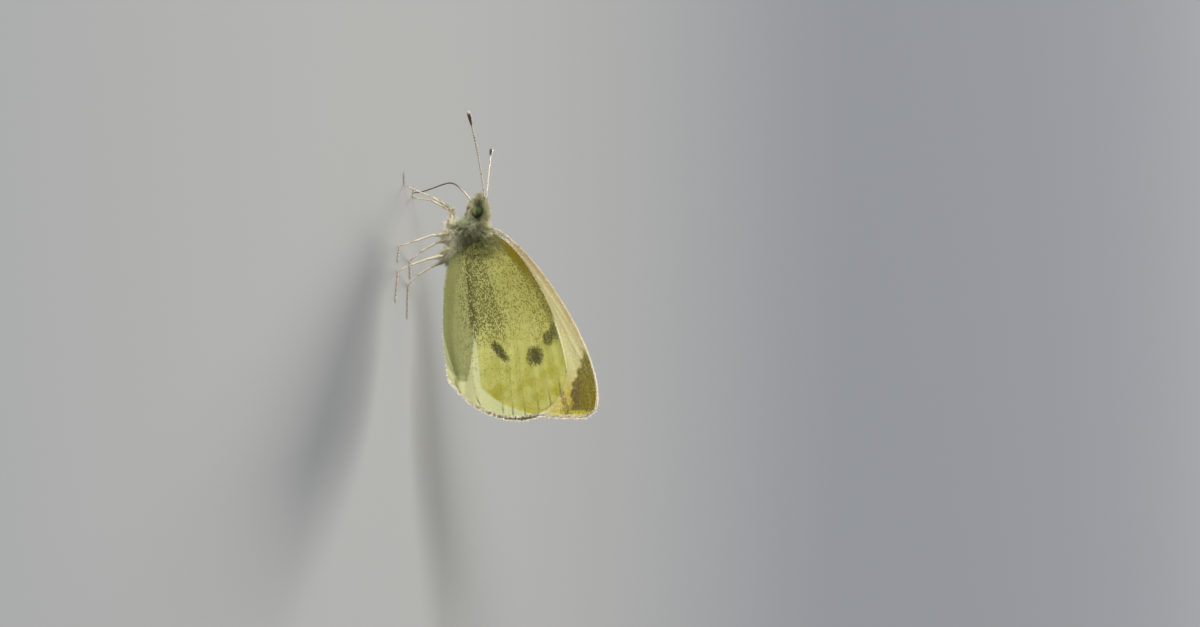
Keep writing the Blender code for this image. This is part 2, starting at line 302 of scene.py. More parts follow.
def joined(parts):
    """One list of points and one of faces, from several of each."""
    points, faces, start = [], [], 0
    for some_points, some_faces in parts:
        points.append(np.asarray(some_points, float))
        faces += [tuple(i + start for i in face) for face in some_faces]
        start += len(some_points)
    return np.concatenate(points), faces


def ring_faces(rings, sides):
    """Faces of a closed tube of rings with flat ends."""
    faces = [tuple(range(sides)), tuple(range((rings - 1) * sides, rings * sides))]
    for k in range(rings - 1):
        for i in range(sides):
            j = (i + 1) % sides
            faces.append((k * sides + i, k * sides + j, (k + 1) * sides + j, (k + 1) * sides + i))
    return faces


def tube(path, radii, sides=10, flat=1.0, across=(0.0, 1.0, 0.0)):
    """Points and faces of a tube along a path. flat squeezes it in the direction square to across."""
    path, across = np.asarray(path, float), np.asarray(across, float)
    ahead = np.gradient(path, axis=0)
    ahead /= np.linalg.norm(ahead, axis=1)[:, None]
    side = across - ahead * (ahead @ across)[:, None]
    side /= np.linalg.norm(side, axis=1)[:, None]
    top = np.cross(side, ahead)
    a = 2 * np.pi * (np.arange(sides) + 0.5) / sides
    ring = side[:, None] * np.cos(a)[None, :, None] + top[:, None] * flat * np.sin(a)[None, :, None]
    points = path[:, None] + ring * np.broadcast_to(radii, len(path))[:, None, None]
    return points.reshape(-1, 3), ring_faces(len(path), sides)


def line(start, end, count):
    """Evenly spaced points on a straight line."""
    t = np.linspace(0, 1, count)[:, None]
    return np.asarray(start) * (1 - t) + np.asarray(end) * t


def new_mesh(name, points, faces, attributes=None):
    """An object from points in the drawing's millimetres, with its faces turned outward."""
    mesh = bpy.data.meshes.new(name)
    mesh.from_pydata([tuple(p) for p in points], [], faces)
    maker = bmesh.new()
    maker.from_mesh(mesh)
    bmesh.ops.recalc_face_normals(maker, faces=maker.faces)
    maker.to_mesh(mesh)
    maker.free()
    mesh.shade_smooth()
    made = bpy.data.objects.new(name, mesh)
    bpy.context.scene.collection.objects.link(made)
    for key, values in (attributes or {}).items():
        set_attribute(made, key, values)
    return made


def set_attribute(thing, name, values):
    """A value or a vector for each of an object's points."""
    values = np.asarray(values, np.float32)
    kind, field = ("FLOAT", "value") if values.ndim == 1 else ("FLOAT_VECTOR", "vector")
    made = thing.data.attributes.get(name) or thing.data.attributes.new(name, kind, "POINT")
    made.data.foreach_set(field, values.ravel())


def vectors_of(layer, field):
    """A mesh layer's vectors, one row for each point."""
    values = np.empty(len(layer) * 3, np.float32)
    layer.foreach_get(field, values)
    return values.reshape(-1, 3).astype(float)


def on_side(point, sign):
    """A point given for the left, on the side that sign says."""
    return np.array((point[0], sign * point[1], point[2]), float)


def leg_points(pair, side, sign):
    """A leg's base, knee, ankle, heel and toe."""
    points = [np.array(p, float) for p in LEGS[pair]]
    if side == "right":
        for k in (1, 2):
            points[k] += KNEE_SHIFT[pair]
    return [on_side(p, sign) for p in points]


SIDES = {"left": -1.0, "right": 1.0}


def body_tube():
    """The long body from brow to tail, with a fine step at each abdomen ring."""
    stations, sides = 240, 48
    x = np.linspace(BODY[0, 0] + 0.1, BODY[-1, 0] - 0.05, stations)
    middle, half_height, half_width, coat = eased(BODY, x)
    ring = np.zeros(stations)
    for start in RING_STARTS:
        ring += RING_STEP * np.exp(-(((x - start) / RING_SPREAD) ** 2))
    a = 2 * np.pi * np.arange(sides) / sides
    y = np.outer(half_width - coat - ring, np.cos(a))
    z = middle[:, None] + np.outer(half_height - coat - ring, np.sin(a))
    points = np.stack([np.repeat(x[:, None], sides, 1), y, z], -1).reshape(-1, 3)
    return points, ring_faces(stations, sides)


def hip(pair, side, sign):
    """The short hairy coxa between the thorax and the femur."""
    x, degrees = HIPS[pair]
    middle, half_height, half_width, coat = eased(BODY, x)
    a = math.radians(degrees)
    out, down = (half_width - coat) * math.sin(a), (half_height - coat) * math.cos(a)
    skin = on_side((x, out, middle - down), sign)
    base = leg_points(pair, side, sign)[0]
    inside = skin + (skin - base) * 0.2
    return tube(line(inside, base, len(HIP_RADII)), HIP_RADII, 14)


skin_parts = [body_tube()]
for side, sign in SIDES.items():
    palp_path = line(on_side(PALP_ROOT, sign) + (0.5, 0, 0), on_side(PALP_TIP, sign), len(PALP_RADII))
    skin_parts.append(tube(palp_path, PALP_RADII, 14))
    for pair in HIPS:
        skin_parts.append(hip(pair, side, sign))
body = new_mesh("body_skin", *joined(skin_parts))
weld = body.modifiers.new("one_skin", "REMESH")
weld.mode = "VOXEL"
weld.voxel_size = SKIN_GRAIN
even = body.modifiers.new("even", "SMOOTH")
even.iterations = 3


def apply_modifiers(thing):
    """Turns an object and its modifiers into one plain mesh."""
    graph = bpy.context.evaluated_depsgraph_get()
    graph.update()
    made = bpy.data.meshes.new_from_object(thing.evaluated_get(graph))
    thing.modifiers.clear()
    thing.data = made


apply_modifiers(body)
body.data.shade_smooth()
skin = vectors_of(body.data.vertices, "co")
skin_x, skin_y, skin_z = skin.T
middle, half_height, half_width = eased(BODY, skin_x)[:3]
round_angle = np.arctan2(skin_y / half_width, (skin_z - middle) / half_height)  # 0 on the back
set_attribute(body, "root", skin)
unwrap = np.stack([(skin_x + 6.0) / 23.0, round_angle / (2 * np.pi) + 0.5, skin_x * 0], 1)
set_attribute(body, "skin_uv", unwrap)

HAIR_PALE, HAIR_OLIVE, HAIR_DARK = tint(192, 192, 150), tint(146, 150, 110), tint(46, 50, 24)
HAIR_WHITE, HAIR_CREAM, HAIR_MINT = tint(226, 220, 190), tint(214, 207, 156), tint(182, 185, 148)
CREST_BROWN, ROOT_OLIVE_AND_SHADE, FLANK_DARK_AND_SHADE = tint(166, 154, 104), tint(74, 78, 18), tint(36, 42, 8)
FACE_BEIGE, ABDOMEN_GREY = tint(206, 200, 164), tint(98, 100, 84)
BELLY_WHITE, HINGE_OLIVE = tint(246, 240, 208), tint(156, 156, 106)
EYE_CENTRE, EYE_RADII = (-3.12, 1.07, 8.54), (0.64, 0.48, 0.68)


def body_markings(paint, strands=False):
    """Colours by place: white below, dark at the flank, cream on the collar. The dark flank and the olive
    at the wing roots are deepened with painted shade. Returns the fine grain.
    """
    root = paint.attribute("root")
    x, y, z = paint.split(root)
    patchy = paint.noise(root, 3.2, 3.0)
    fine = paint.noise(root, 14.0, 2.0)
    paint.colour = HAIR_PALE
    paint.over(paint.step(patchy, 0.42, 0.66), HAIR_OLIVE)
    zones = (  # centre x and z, reach along x and z, strength, colour
        ((-1.5, 6.7), (1.6, 1.3), 0.80, HAIR_MINT),
        # The thorax's own dark hair, deepened with painted shade at the flank and the wing roots
        ((0.45, 8.0), (1.7, 1.9), 0.90, FLANK_DARK_AND_SHADE),
        ((2.4, 9.4), (2.4, 2.6), 0.80, ROOT_OLIVE_AND_SHADE),
        ((-1.6, 10.0), (1.9, 1.3), 0.95, HAIR_CREAM),
        ((-1.35, 8.75), (0.50, 0.42), 0.60, HAIR_DARK),
        ((-3.1, 6.9), (1.2, 0.9), 0.80, HAIR_WHITE),
        ((-4.9, 8.6), (1.1, 1.3), 0.80, CREST_BROWN),
        ((-4.1, 7.4), (0.9, 0.8), 0.75, FACE_BEIGE),
        ((-2.9, 9.75), (1.4, 0.75), 0.85, HAIR_CREAM),
        ((-4.00, 8.50), (0.36, 0.42), 0.90, HAIR_DARK),
        ((-2.42, 8.50), (0.30, 0.34), 0.75, HAIR_DARK),
    )
    for (middle_x, middle_z), (long, high), strength, shade in zones:
        gap = paint.far(root, (middle_x, 0.0, middle_z), (1 / long, 0.0, 1 / high))
        share = paint.step(gap + (patchy - 0.5) * 1.3 + (fine - 0.5) * 1.6, 1.20, 0.45)
        paint.over(share * strength, shade)
    below = paint.step(z + (patchy - 0.5) - paint.step(x, 2.0, 6.0) * 0.3, 6.5, 5.7)
    paint.over(below * 0.95, BELLY_WHITE)
    paint.over(paint.step(x, 1.0, 2.2) * paint.step(z, 7.8, 6.8) * 0.5, HINGE_OLIVE)
    paint.over(paint.step(x, 2.4, 4.2) * paint.step(z, 6.6, 7.8) * 0.85, ABDOMEN_GREY)
    rim = paint.far(root, (EYE_CENTRE[0], 0.0, EYE_CENTRE[2]), (0.86, 0.0, 0.80))
    rim = paint.step(rim, 0.80, 0.58) * paint.step(paint.size_of(y), 0.5, 0.8)
    paint.over(rim * paint.step(fine, 0.30, 0.55) * 0.55, HAIR_DARK)
    if strands:
        strand = paint.node("ShaderNodeTexWhiteNoise", {"noise_dimensions": "3D"}, {"Vector": root})
        paint.over(paint.step(strand, 0.62, 0.95) * 0.50, HAIR_DARK)
        paint.over(paint.step(strand, 0.22, 0.02) * 0.30, HAIR_WHITE)
    return fine


skin_paint = Finish("skin_under_the_hair")
skin_fine = body_markings(skin_paint)
skin_paint.over(0.35, HAIR_DARK)
skin_paint.surface(0.8, skin_paint.bump(skin_fine, 0.00004))

# ---- Coat
# Hairs and scales stand on the skin in small tufts. One tree of nodes scatters a tuft over a skin: the
# skin says how densely, how long and which way it lies at each place.


def coat_tree():
    """The tree that scatters tufts over a skin, or stands one at each of its points."""
    group = bpy.data.node_groups.new("coat", "GeometryNodeTree")
    sockets = {
        "Skin": "NodeSocketGeometry",
        "Tuft": "NodeSocketObject",
        "Tufts per square millimetre": "NodeSocketFloat",
        "One at each point": "NodeSocketBool",
        "Smallest": "NodeSocketFloat",
        "Largest": "NodeSocketFloat",
        "Tousle": "NodeSocketFloat",
        "Seed": "NodeSocketInt",
        "Finish": "NodeSocketMaterial",
    }
    for name, kind in sockets.items():
        group.interface.new_socket(name, in_out="INPUT", socket_type=kind)
    group.interface.new_socket("Coat", in_out="OUTPUT", socket_type="NodeSocketGeometry")
    tree = Tree(group)
    entry = group.nodes.new("NodeGroupInput")
    given = {name: Value(tree, entry.outputs[name]) for name in sockets}

    def named(name, kind="FLOAT"):
        return tree.node("GeometryNodeInputNamedAttribute", {"data_type": kind}, {"Name": name})

    thick = given["Tufts per square millimetre"] * named("cover")
    scatter = {"Mesh": given["Skin"], "Density": thick, "Seed": given["Seed"]}
    spots = tree.node("GeometryNodeDistributePointsOnFaces", None, scatter)
    in_rows = tree.node("GeometryNodeMeshToPoints", None, {"Mesh": given["Skin"]})
    choice = {"Switch": given["One at each point"], "False": spots, "True": in_rows}
    spots = tree.node("GeometryNodeSwitch", {"input_type": "GEOMETRY"}, choice)
    normal = named("out", "FLOAT_VECTOR")
    ends = {"Min": (-1.0, -1.0, -1.0), "Max": (1.0, 1.0, 1.0), "Seed": given["Seed"]}
    loose = tree.node("FunctionNodeRandomValue", {"data_type": "FLOAT_VECTOR"}, ends)
    loose = tree.vector_maths("SCALE", {0: loose, "Scale": given["Tousle"]})
    aim = tree.vector_maths("ADD", {0: named("aim", "FLOAT_VECTOR"), 1: loose})
    axes = {"primary_axis": "Z", "secondary_axis": "X"}
    turned = tree.node("FunctionNodeAxesToRotation", axes, {"Primary Axis": aim, "Secondary Axis": normal})
    limits = {"Min_001": given["Smallest"], "Max_001": given["Largest"], "Seed": given["Seed"]}
    varied = group.nodes.new("FunctionNodeRandomValue")
    varied.data_type = "FLOAT"
    for socket in varied.inputs:
        if socket.identifier in limits:
            group.links.new(limits[socket.identifier].socket, socket)
    length = Value(tree, next(o for o in varied.outputs if o.identifier == "Value_001")) * named("size")
    tuft = tree.node("GeometryNodeObjectInfo", None, {"Object": given["Tuft"]}, "Geometry")
    placed = {"Points": spots, "Instance": tuft, "Rotation": turned, "Scale": length}
    placed = tree.node("GeometryNodeInstanceOnPoints", None, placed)
    solid = tree.node("GeometryNodeRealizeInstances", None, {0: placed})
    solid = tree.node("GeometryNodeSetMaterial", None, {"Geometry": solid, "Material": given["Finish"]})
    group.links.new(solid.socket, group.nodes.new("NodeGroupOutput").inputs[0])
    return group


COAT_TREE = coat_tree()
COAT_INPUTS = {i.name: i.identifier for i in COAT_TREE.interface.items_tree if i.in_out == "INPUT"}
COAT_FACTS = ("aim", "out", "size", "cover", "skin_uv")  # what a skin tells its coat, point by point
PATCH = 0.003  # size of a tuft's place on the unwrapped skin


def drop_coat_facts(mesh):
    for fact in COAT_FACTS:
        if fact in mesh.attributes:
            mesh.attributes.remove(mesh.attributes[fact])


def grow(name, skin_piece, tuft, density, sizes, tousle, seed, finish):
    """A coat on a skin, as one plain mesh with its unwrap. With no density, each point has one tuft."""
    base = bpy.data.objects.new(name, skin_piece.data)
    bpy.context.scene.collection.objects.link(base)
    scatter = base.modifiers.new("coat", "NODES")
    scatter.node_group = COAT_TREE
    settings = {
        "Tuft": tuft,
        "Tufts per square millimetre": float(density or 0),
        "One at each point": density is None,
        "Smallest": sizes[0],
        "Largest": sizes[1],
        "Tousle": tousle,
        "Seed": seed,
        "Finish": finish.material,
    }
    for setting, value in settings.items():
        scatter[COAT_INPUTS[setting]] = value
    apply_modifiers(base)
    mesh = base.data
    mesh.name = name
    at_root = vectors_of(mesh.attributes["skin_uv"].data, "vector")
    on_tuft = vectors_of(mesh.attributes["tuft_uv"].data, "vector")
    places = (at_root + (on_tuft - 0.5) * PATCH)[:, :2]
    corners = np.empty(len(mesh.loops), np.int32)
    mesh.loops.foreach_get("vertex_index", corners)
    unwrap_map = mesh.uv_layers.new(name="OFBake")
    unwrap_map.data.foreach_set("uv", places[corners].astype(np.float32).ravel())
    drop_coat_facts(mesh)
    return base


tufts_made = []


def keep_tuft(name, parts, flat=True):
    """A tuft that only the coats use: its length is 1, along +Z. Thin blades are shaded flat."""
    points, faces = joined(parts)
    low, high = points.min(0), points.max(0)
    spread = (points - low) / np.maximum(high - low, 1e-6)
    flat_map = np.stack([spread[:, 1], spread[:, 2], np.ones(len(points))], 1)
    made = new_mesh(name, points, faces, {"tuft_uv": flat_map})
    tufts_made.append(made)
    made.hide_render = True
    if flat:
        made.data.shade_flat()
    return made


def hair_tuft(name, hairs, thickness, spread, seed):
    """A few fine bent hairs from nearly one root."""
    chance = np.random.default_rng(seed)
    parts = []
    for _ in range(hairs):
        foot = np.array((*chance.uniform(-0.10, 0.10, 2), -0.08))
        lean = chance.uniform(-spread, spread, 2)
        bend = chance.uniform(-0.5, 0.5, 2) * spread
        reach = chance.uniform(0.65, 1.0)
        t = np.array((0.0, 0.5, 1.0))[:, None]
        path = foot + np.concatenate([lean * t + bend * t * t, t * reach], 1)
        points, faces = tube(path, thickness * np.array((1.0, 0.8, 0.12)), 3)
        parts.append((points, faces))
    return keep_tuft(name, parts, False)


def scale_tuft(name, width, curl):
    """A flat scale: narrow at its root, round-tipped, slightly lifted and curved."""
    t = np.array((0.0, 0.35, 0.8, 1.0))
    half = width * np.array((0.25, 0.85, 1.0, 0.45)) / 2
    rows = []
    for depth in (0.0, 0.06 * width):
        lift = curl * t * t + depth
        rows.append(np.stack([np.stack([lift, s * half, t], 1) for s in (-1, 1)], 1))
    points = np.concatenate([rows[0].reshape(-1, 3), rows[1].reshape(-1, 3)])
    n = len(t) * 2
    faces = []
    for k in range(len(t) - 1):
        a, b, c, d = 2 * k, 2 * k + 1, 2 * k + 3, 2 * k + 2
        faces += [(a, b, c, d), (a + n, b + n, c + n, d + n), (a, d, d + n, a + n), (b, c, c + n, b + n)]
    faces += [(0, 1, 1 + n, n), (n - 2, n - 1, 2 * n - 1, 2 * n - 2)]
    return keep_tuft(name, [(points, faces)])


ROOF_OF_FIVE = [(k, (k + 1) % 5, 5) for k in range(5)] + [(4, 3, 2, 1, 0)]


def shingle_tuft(name, width, rise):
    """One small scale: a pointed root, a broad middle, a blunt tip, and a back a little raised."""
    middle, tip = 0.42 * width, 0.34 * width
    outline = [(0, 0, 0), (0, middle, 0.5), (0, tip, 1), (0, -tip, 1), (0, -middle, 0.5)]
    points = [*outline, (rise, 0, 0.55)]
    return keep_tuft(name, [(points, ROOF_OF_FIVE)])


def aimed(normals, flow, lift):
    """Directions that lie along a flow over the skin, lifted off it by an angle in degrees."""
    flow = np.broadcast_to(flow, normals.shape)
    lying = flow - normals * (flow * normals).sum(1)[:, None]
    lying /= np.maximum(np.linalg.norm(lying, axis=1)[:, None], 1e-6)
    lift = np.radians(np.broadcast_to(lift, len(normals)))[:, None]
    return lying * np.cos(lift) + normals * np.sin(lift)


long_hairs = hair_tuft("tuft_long", 5, 0.016, 0.22, 3)
short_hairs = hair_tuft("tuft_short", 4, 0.021, 0.30, 5)
flat_scales = scale_tuft("tuft_scale", 0.55, 0.10)

# ---- Body coat
# Long soft hair on the thorax, shorter on the face, where it stands up in a crest between the feelers,
# and flat scales down the abdomen.
out = vectors_of(body.data.vertex_normals, "vector")
face = soft_step(skin_x, -3.2, -3.9)
under = soft_step(skin_z, 6.9, 5.4)
collar = soft_step(skin_x, -3.3, -2.6) * soft_step(skin_x, -0.4, -1.4) * soft_step(skin_z, 8.2, 9.2)
crest = soft_step(skin_x, -3.9, -4.3) * soft_step(skin_z, 7.3, 8.0) * soft_step(skin_z, 9.5, 9.0)
shoulder = soft_step(skin_x, -3.2, -2.6) * soft_step(skin_x, -0.4, -1.2) * soft_step(skin_z, 7.7, 6.9)
belly = soft_step(skin_x, -1.4, -0.4) * soft_step(skin_x, 2.3, 1.3) * soft_step(skin_z, 6.4, 5.6)
flow_back = 1.0 - 2.0 * face - 0.5 * under - 1.6 * shoulder
flow_up = 0.25 - 0.9 * under + 0.8 * collar + 0.2 * crest
flow = np.stack([flow_back, skin_y * 0, flow_up], 1)
thorax_part = soft_step(skin_x, -2.4, -1.7) * soft_step(skin_x, 3.4, 2.4)
head_part = soft_step(skin_x, -1.8, -2.3)
abdomen_part = soft_step(skin_x, 2.9, 3.6)
lift = 10.0 + (20.0 + 24.0 * under) * thorax_part + 28.0 * head_part + 22.0 * collar + 26.0 * shoulder
set_attribute(body, "aim", aimed(out, flow, lift))
set_attribute(body, "out", out)
eye_gap = np.sqrt(
    ((skin_x - EYE_CENTRE[0]) / (EYE_RADII[0] + 0.08)) ** 2
    + ((np.abs(skin_y) - EYE_CENTRE[1]) / (EYE_RADII[1] + 0.05)) ** 2
    + ((skin_z - EYE_CENTRE[2]) / (EYE_RADII[2] + 0.08)) ** 2
)
clear_of_eye = soft_step(eye_gap, 0.97, 1.03)
length = (0.72 + 0.40 * under) * thorax_part + 0.46 * head_part + 0.24 * abdomen_part
length = length + 0.60 * collar * (1 - head_part) + 0.50 * shoulder + 0.25 * belly
length = length * (1 - 0.15 * face) + 0.26 * crest + 0.08 * head_part
under_wings = soft_step(skin_x, 0.9, 1.8) * soft_step(skin_z, 6.2, 7.0)
hairy = clear_of_eye * thorax_part * (1 - 0.6 * under_wings) * (1 + 0.4 * belly)
set_attribute(body, "size", np.maximum(length, 0.12))


def complete(piece, finish, slot, *nodes):
    """Brings a finished piece to the frame's metres, gives it its finish, hangs it on the root body and
    hides the parts of model.glb it stands in for.
    """
    to_frame = Matrix.Translation((DRAWING_SHIFT, 0, 0)) @ Matrix.Scale(MM, 4)
    piece.data.transform(to_frame)
    piece.data.materials.clear()
    piece.data.materials.append(finish.material)
    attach(piece, "root")
    if nodes:
        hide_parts(*nodes)


hair_paint = Finish("body_hair")
body_markings(hair_paint, True)
hair_paint.surface(0.8, None, 0.1, tint(198, 194, 130), 0.18)

COATS = (  # name, where it grows, tuft, tufts per square millimetre, sizes, tousle, seed
    ("thorax_hair", hairy, long_hairs, 53, (0.6, 1.25), 0.22, 11),
    ("head_hair", clear_of_eye * head_part, short_hairs, 135, (0.5, 1.4), 0.34, 12),
    ("abdomen_scales", abdomen_part, flat_scales, 60, (0.8, 1.3), 0.12, 13),
)
coats = []
for name, where, *growth in COATS:
    set_attribute(body, "cover", where)
    coats.append(grow(name, body, *growth, hair_paint))
drop_coat_facts(body.data)
hip_nodes = ["_".join((pair, "coxa", side)) for pair in HIPS for side in SIDES]
body_nodes = ["head", "thorax", "abdomen", "palp_left", "palp_right", *hip_nodes]
complete(body, skin_paint, "body_hair", *body_nodes)
for coat_piece in coats:
    complete(coat_piece, hair_paint, "body_hair")

# ---- Eyes
# Large domes of tiny facets, dark green above and paler olive below, set in the sides of the head.
FACET = 0.045
eye_paint = Finish("eye_facets")
eye_place = eye_paint.place()
eye_height = eye_paint.split(eye_paint.vector_maths("SCALE", {0: eye_place, "Scale": 1 / MM}))[2]
eye_soft = eye_paint.noise(eye_place, 1400.0)
eye_height = (eye_height - EYE_CENTRE[2]) / EYE_RADII[2] + (eye_soft - 0.5) * 0.5
facet_place = {"Vector": eye_place, "Scale": 1 / (FACET * MM), "Randomness": 0.35}
facets = eye_paint.node("ShaderNodeTexVoronoi", {"feature": "F1"}, facet_place)
eye_blots = eye_paint.step(eye_paint.noise(eye_place, 2900.0, 1.0), 0.50, 0.58)
eye_paint.colour = tint(118, 116, 70)
eye_paint.over(eye_paint.step(eye_height, -0.60, 0.12), tint(44, 60, 18))
eye_paint.over(eye_blots * eye_paint.step(eye_height, -0.3, 0.1) * 0.8, tint(22, 34, 16))
eye_paint.over(eye_paint.step(facets, 0.35, 0.75) * 0.45, tint(14, 26, 12))
eye_paint.surface(0.52, eye_paint.bump(1.0 - facets, 0.000012), 0.18)
for side, sign in SIDES.items():
    dome = bmesh.new()
    bmesh.ops.create_icosphere(dome, subdivisions=5, radius=1.0)
    dome.transform(Matrix.Translation(on_side(EYE_CENTRE, sign)) @ Matrix.Diagonal((*EYE_RADII, 1.0)))
    eye_mesh = bpy.data.meshes.new("eye_dome_" + side)
    dome.to_mesh(eye_mesh)
    dome.free()
    eye_mesh.shade_smooth()
    eye = bpy.data.objects.new("eye_dome_" + side, eye_mesh)
    bpy.context.scene.collection.objects.link(eye)
    complete(eye, eye_paint, "eye", "eye_" + side)

# ---- Feelers
# A thin ringed shaft, pale with brown rings, thickening to a dark flat club with a pale tip.
FEELER_ROOT, FEELER_TIP, FEELER_BOW = (-4.15, 0.15, 9.20), (-13.25, 7.20, 8.05), (0.0, -0.80, 0.12)
FEELER_JOINTS, FEELER_SIDES = 34, 12
FEELER_RADIUS, CLUB_SWELL, CLUB_START, TIP_ROUND = 0.085, 0.125, 0.84, 0.02
feeler_paint = Finish("feeler_scales")
feeler_along, feeler_ring = feeler_paint.split(feeler_paint.attribute("along"))[:2]
feeler_grain = feeler_paint.noise(feeler_paint.place(), 9000.0)
club_share = feeler_paint.step(feeler_along + (feeler_grain - 0.5) * 0.02, CLUB_START, CLUB_START + 0.035)
feeler_paint.colour = tint(182, 171, 146)
feeler_paint.over(feeler_paint.step(feeler_ring, 0.45, 0.8), tint(112, 95, 72))
feeler_paint.over(club_share, tint(76, 58, 42))
feeler_paint.over(feeler_paint.step(feeler_along, 0.962, 0.982), tint(176, 164, 140))
feeler_paint.surface(0.6, feeler_paint.bump(feeler_grain, 0.000006))
for side, sign in SIDES.items():
    t = np.linspace(0, 1, FEELER_JOINTS * 4 + 1)
    root, tip, bow = (on_side(point, sign) for point in (FEELER_ROOT, FEELER_TIP, FEELER_BOW))
    path = line(root, tip, len(t)) + bow * np.sin(np.pi * t)[:, None]
    in_joint = (t * FEELER_JOINTS) % 1.0
    club = np.clip((t - CLUB_START) / (1 - CLUB_START), 0, 1)
    radii = FEELER_RADIUS * (1 + 0.10 * np.sin(np.pi * in_joint))
    radii = radii + CLUB_SWELL * np.sin(np.pi * np.minimum(club, 0.80) / 1.6) ** 1.2
    radii = radii * np.sqrt(np.clip((1.0 - t) / TIP_ROUND, 0.05, 1.0))
    radii[0] *= 1.3
    points, faces = tube(path, radii, FEELER_SIDES, 1.0, (0.0, 0.0, 1.0))
    along_values = np.repeat(np.stack([t, in_joint, t * 0], 1), FEELER_SIDES, 0)
    feeler = new_mesh("feeler_" + side, points, faces, {"along": along_values})
    complete(feeler, feeler_paint, "antenna", "antenna_" + side)

# ---- Tongue
# The sucking tube is two half-pipes side by side, ringed like a hose, amber brown.
# Its middle line, as x, z
TONGUE = ((-4.70, 7.55), (-5.73, 6.60), (-6.62, 5.62), (-6.84, 4.90), (-6.68, 4.10),
          (-6.38, 3.30), (-6.08, 2.50), (-5.80, 1.60), (-5.66, 0.60))
TONGUE_RADII, TONGUE_RINGS, HALF_PIPE_OUT = (0.085, 0.05), 150, 0.045
tongue_table = np.array([(k, x, 0.0, z) for k, (x, z) in enumerate(TONGUE)])
tongue_path = np.stack(eased(tongue_table, np.linspace(0, len(TONGUE) - 1, TONGUE_RINGS)), 1)
rings = 1 + 0.05 * np.cos(np.arange(TONGUE_RINGS) * np.pi)
tongue_radii = np.linspace(*TONGUE_RADII, TONGUE_RINGS) * rings
tongue_parts = [tube(tongue_path + (0, sign * HALF_PIPE_OUT, 0), tongue_radii) for sign in SIDES.values()]
tongue_paint = Finish("tongue_horn")
tongue_place = tongue_paint.place()
tongue_height = tongue_paint.split(tongue_place)[2]
tongue_paint.colour = tint(96, 70, 50)
tongue_paint.over(tongue_paint.step(tongue_height, 0.0055, 0.0072), tint(178, 158, 124))
tongue_paint.surface(0.4, tongue_paint.bump(tongue_paint.noise(tongue_place, 12000.0), 0.000004))
tongue = new_mesh("tongue", *joined(tongue_parts))
complete(tongue, tongue_paint, "mouthpart", "proboscis_upper", "proboscis_lower")

# ---- Legs
# Thin scaly legs: a spindle-shaped femur, a straight tibia with two spurs, five tarsal joints that lie
# flat on the floor, and a pair of small claws.
TARSUS_ENDS = (0.0, 0.44, 0.62, 0.76, 0.88, 1.0)  # ends of its joints, as shares of its length
TARSUS_RADIUS, TARSUS_SIDES = 0.085, 8
THIGH_RADII, SHIN_RADII = (0.17, 0.21, 0.13), (0.12, 0.135, 0.125, 0.115, 0.12, 0.13, 0.10)
SPUR_RADII, CLAW_RADII = (0.035, 0.030, 0.020, 0.004), (0.030, 0.024, 0.004)
leg_paint = Finish("leg_scales")
leg_root = leg_paint.attribute("root")
leg_noise = leg_paint.noise(leg_root, 9.0, 3.0)
leg_height = leg_paint.split(leg_root)[2]
leg_paint.colour = tint(206, 196, 170)
leg_paint.over(leg_paint.step(leg_noise, 0.35, 0.65), tint(172, 160, 128))
leg_paint.over(leg_paint.step(leg_height, 0.8, 0.1) * 0.55, tint(120, 98, 70))
leg_paint.surface(0.6, leg_paint.bump(leg_noise, 0.00001))


def along_points(points, share):
    """The point a share of the way along a bent line."""
    lengths = np.linalg.norm(np.diff(points, axis=0), axis=1)
    reach = np.concatenate([[0], np.cumsum(lengths)])
    goal = share * reach[-1]
    return np.array([np.interp(goal, reach, [p[c] for p in points]) for c in range(3)])


def leg_parts(pair, side, sign):
    """Points and faces of each part of a leg, from the thigh to the claws."""
    base, knee, ankle, heel, toe = leg_points(pair, side, sign)
    lift_sole = np.array((0, 0, TARSUS_RADIUS * math.cos(math.pi / TARSUS_SIDES)))
    heel, toe = heel + lift_sole, toe + lift_sole
    parts = [tube(line(base, knee, 9), np.interp(np.linspace(0, 1, 9), (0, 0.4, 1), THIGH_RADII), 12)]
    parts.append(tube(line(knee, ankle, len(SHIN_RADII)), SHIN_RADII))
    shin = (ankle - knee) / np.linalg.norm(ankle - knee)
    for spread in (-1, 1):
        spur = ankle + shin * 0.42 + np.array((0.0, spread * 0.16, -0.02))
        parts.append(tube(line(ankle - shin * 0.02, spur, len(SPUR_RADII)), SPUR_RADII, 6))
    walk = [ankle, heel + (ankle - heel) * 0.10, heel + (toe - heel) * 0.06, toe]
    for start, end in zip(TARSUS_ENDS, TARSUS_ENDS[1:]):
        shares = np.linspace(start, end - 0.004, 5 if start else 14)
        path = np.array([along_points(walk, share) for share in shares])
        swell = np.interp(np.linspace(0, 1, len(path)), (0, 0.2, 0.85, 1), (0.7, 0.86, 1.0, 0.85))
        parts.append(tube(path, TARSUS_RADIUS * swell, TARSUS_SIDES))
    outward = (toe - heel) / np.linalg.norm(toe - heel)
    sideways = np.cross(outward, (0, 0, 1))
    for spread in (-1, 1):
        claw = [toe - outward * 0.02]
        claw.append(toe + outward * 0.10 + sideways * spread * 0.07 + (0, 0, 0.03))
        claw.append(toe + outward * 0.17 + sideways * spread * 0.10 - (0, 0, 0.05))
        parts.append(tube(claw, CLAW_RADII, 6, 1.0, (0.0, 0.0, 1.0)))
    return parts


def leg_facts(points, normals, pair, down):
    """What a leg's coat of short hairs needs to know, by the names of its attributes."""
    x, z = points[:, 0], points[:, 2]
    bushy = soft_step(z, 3.4, 4.6) * (1.6 if pair == "fore" else 1.0)
    return {
        "size": 0.16 + 0.28 * bushy,
        "cover": soft_step(z, 0.02, 0.15),
        "aim": aimed(normals, down, 14.0),
        "out": normals,
        "skin_uv": np.stack([z / 7.0, (x + 8.0) / 17.0, x * 0], 1),
    }


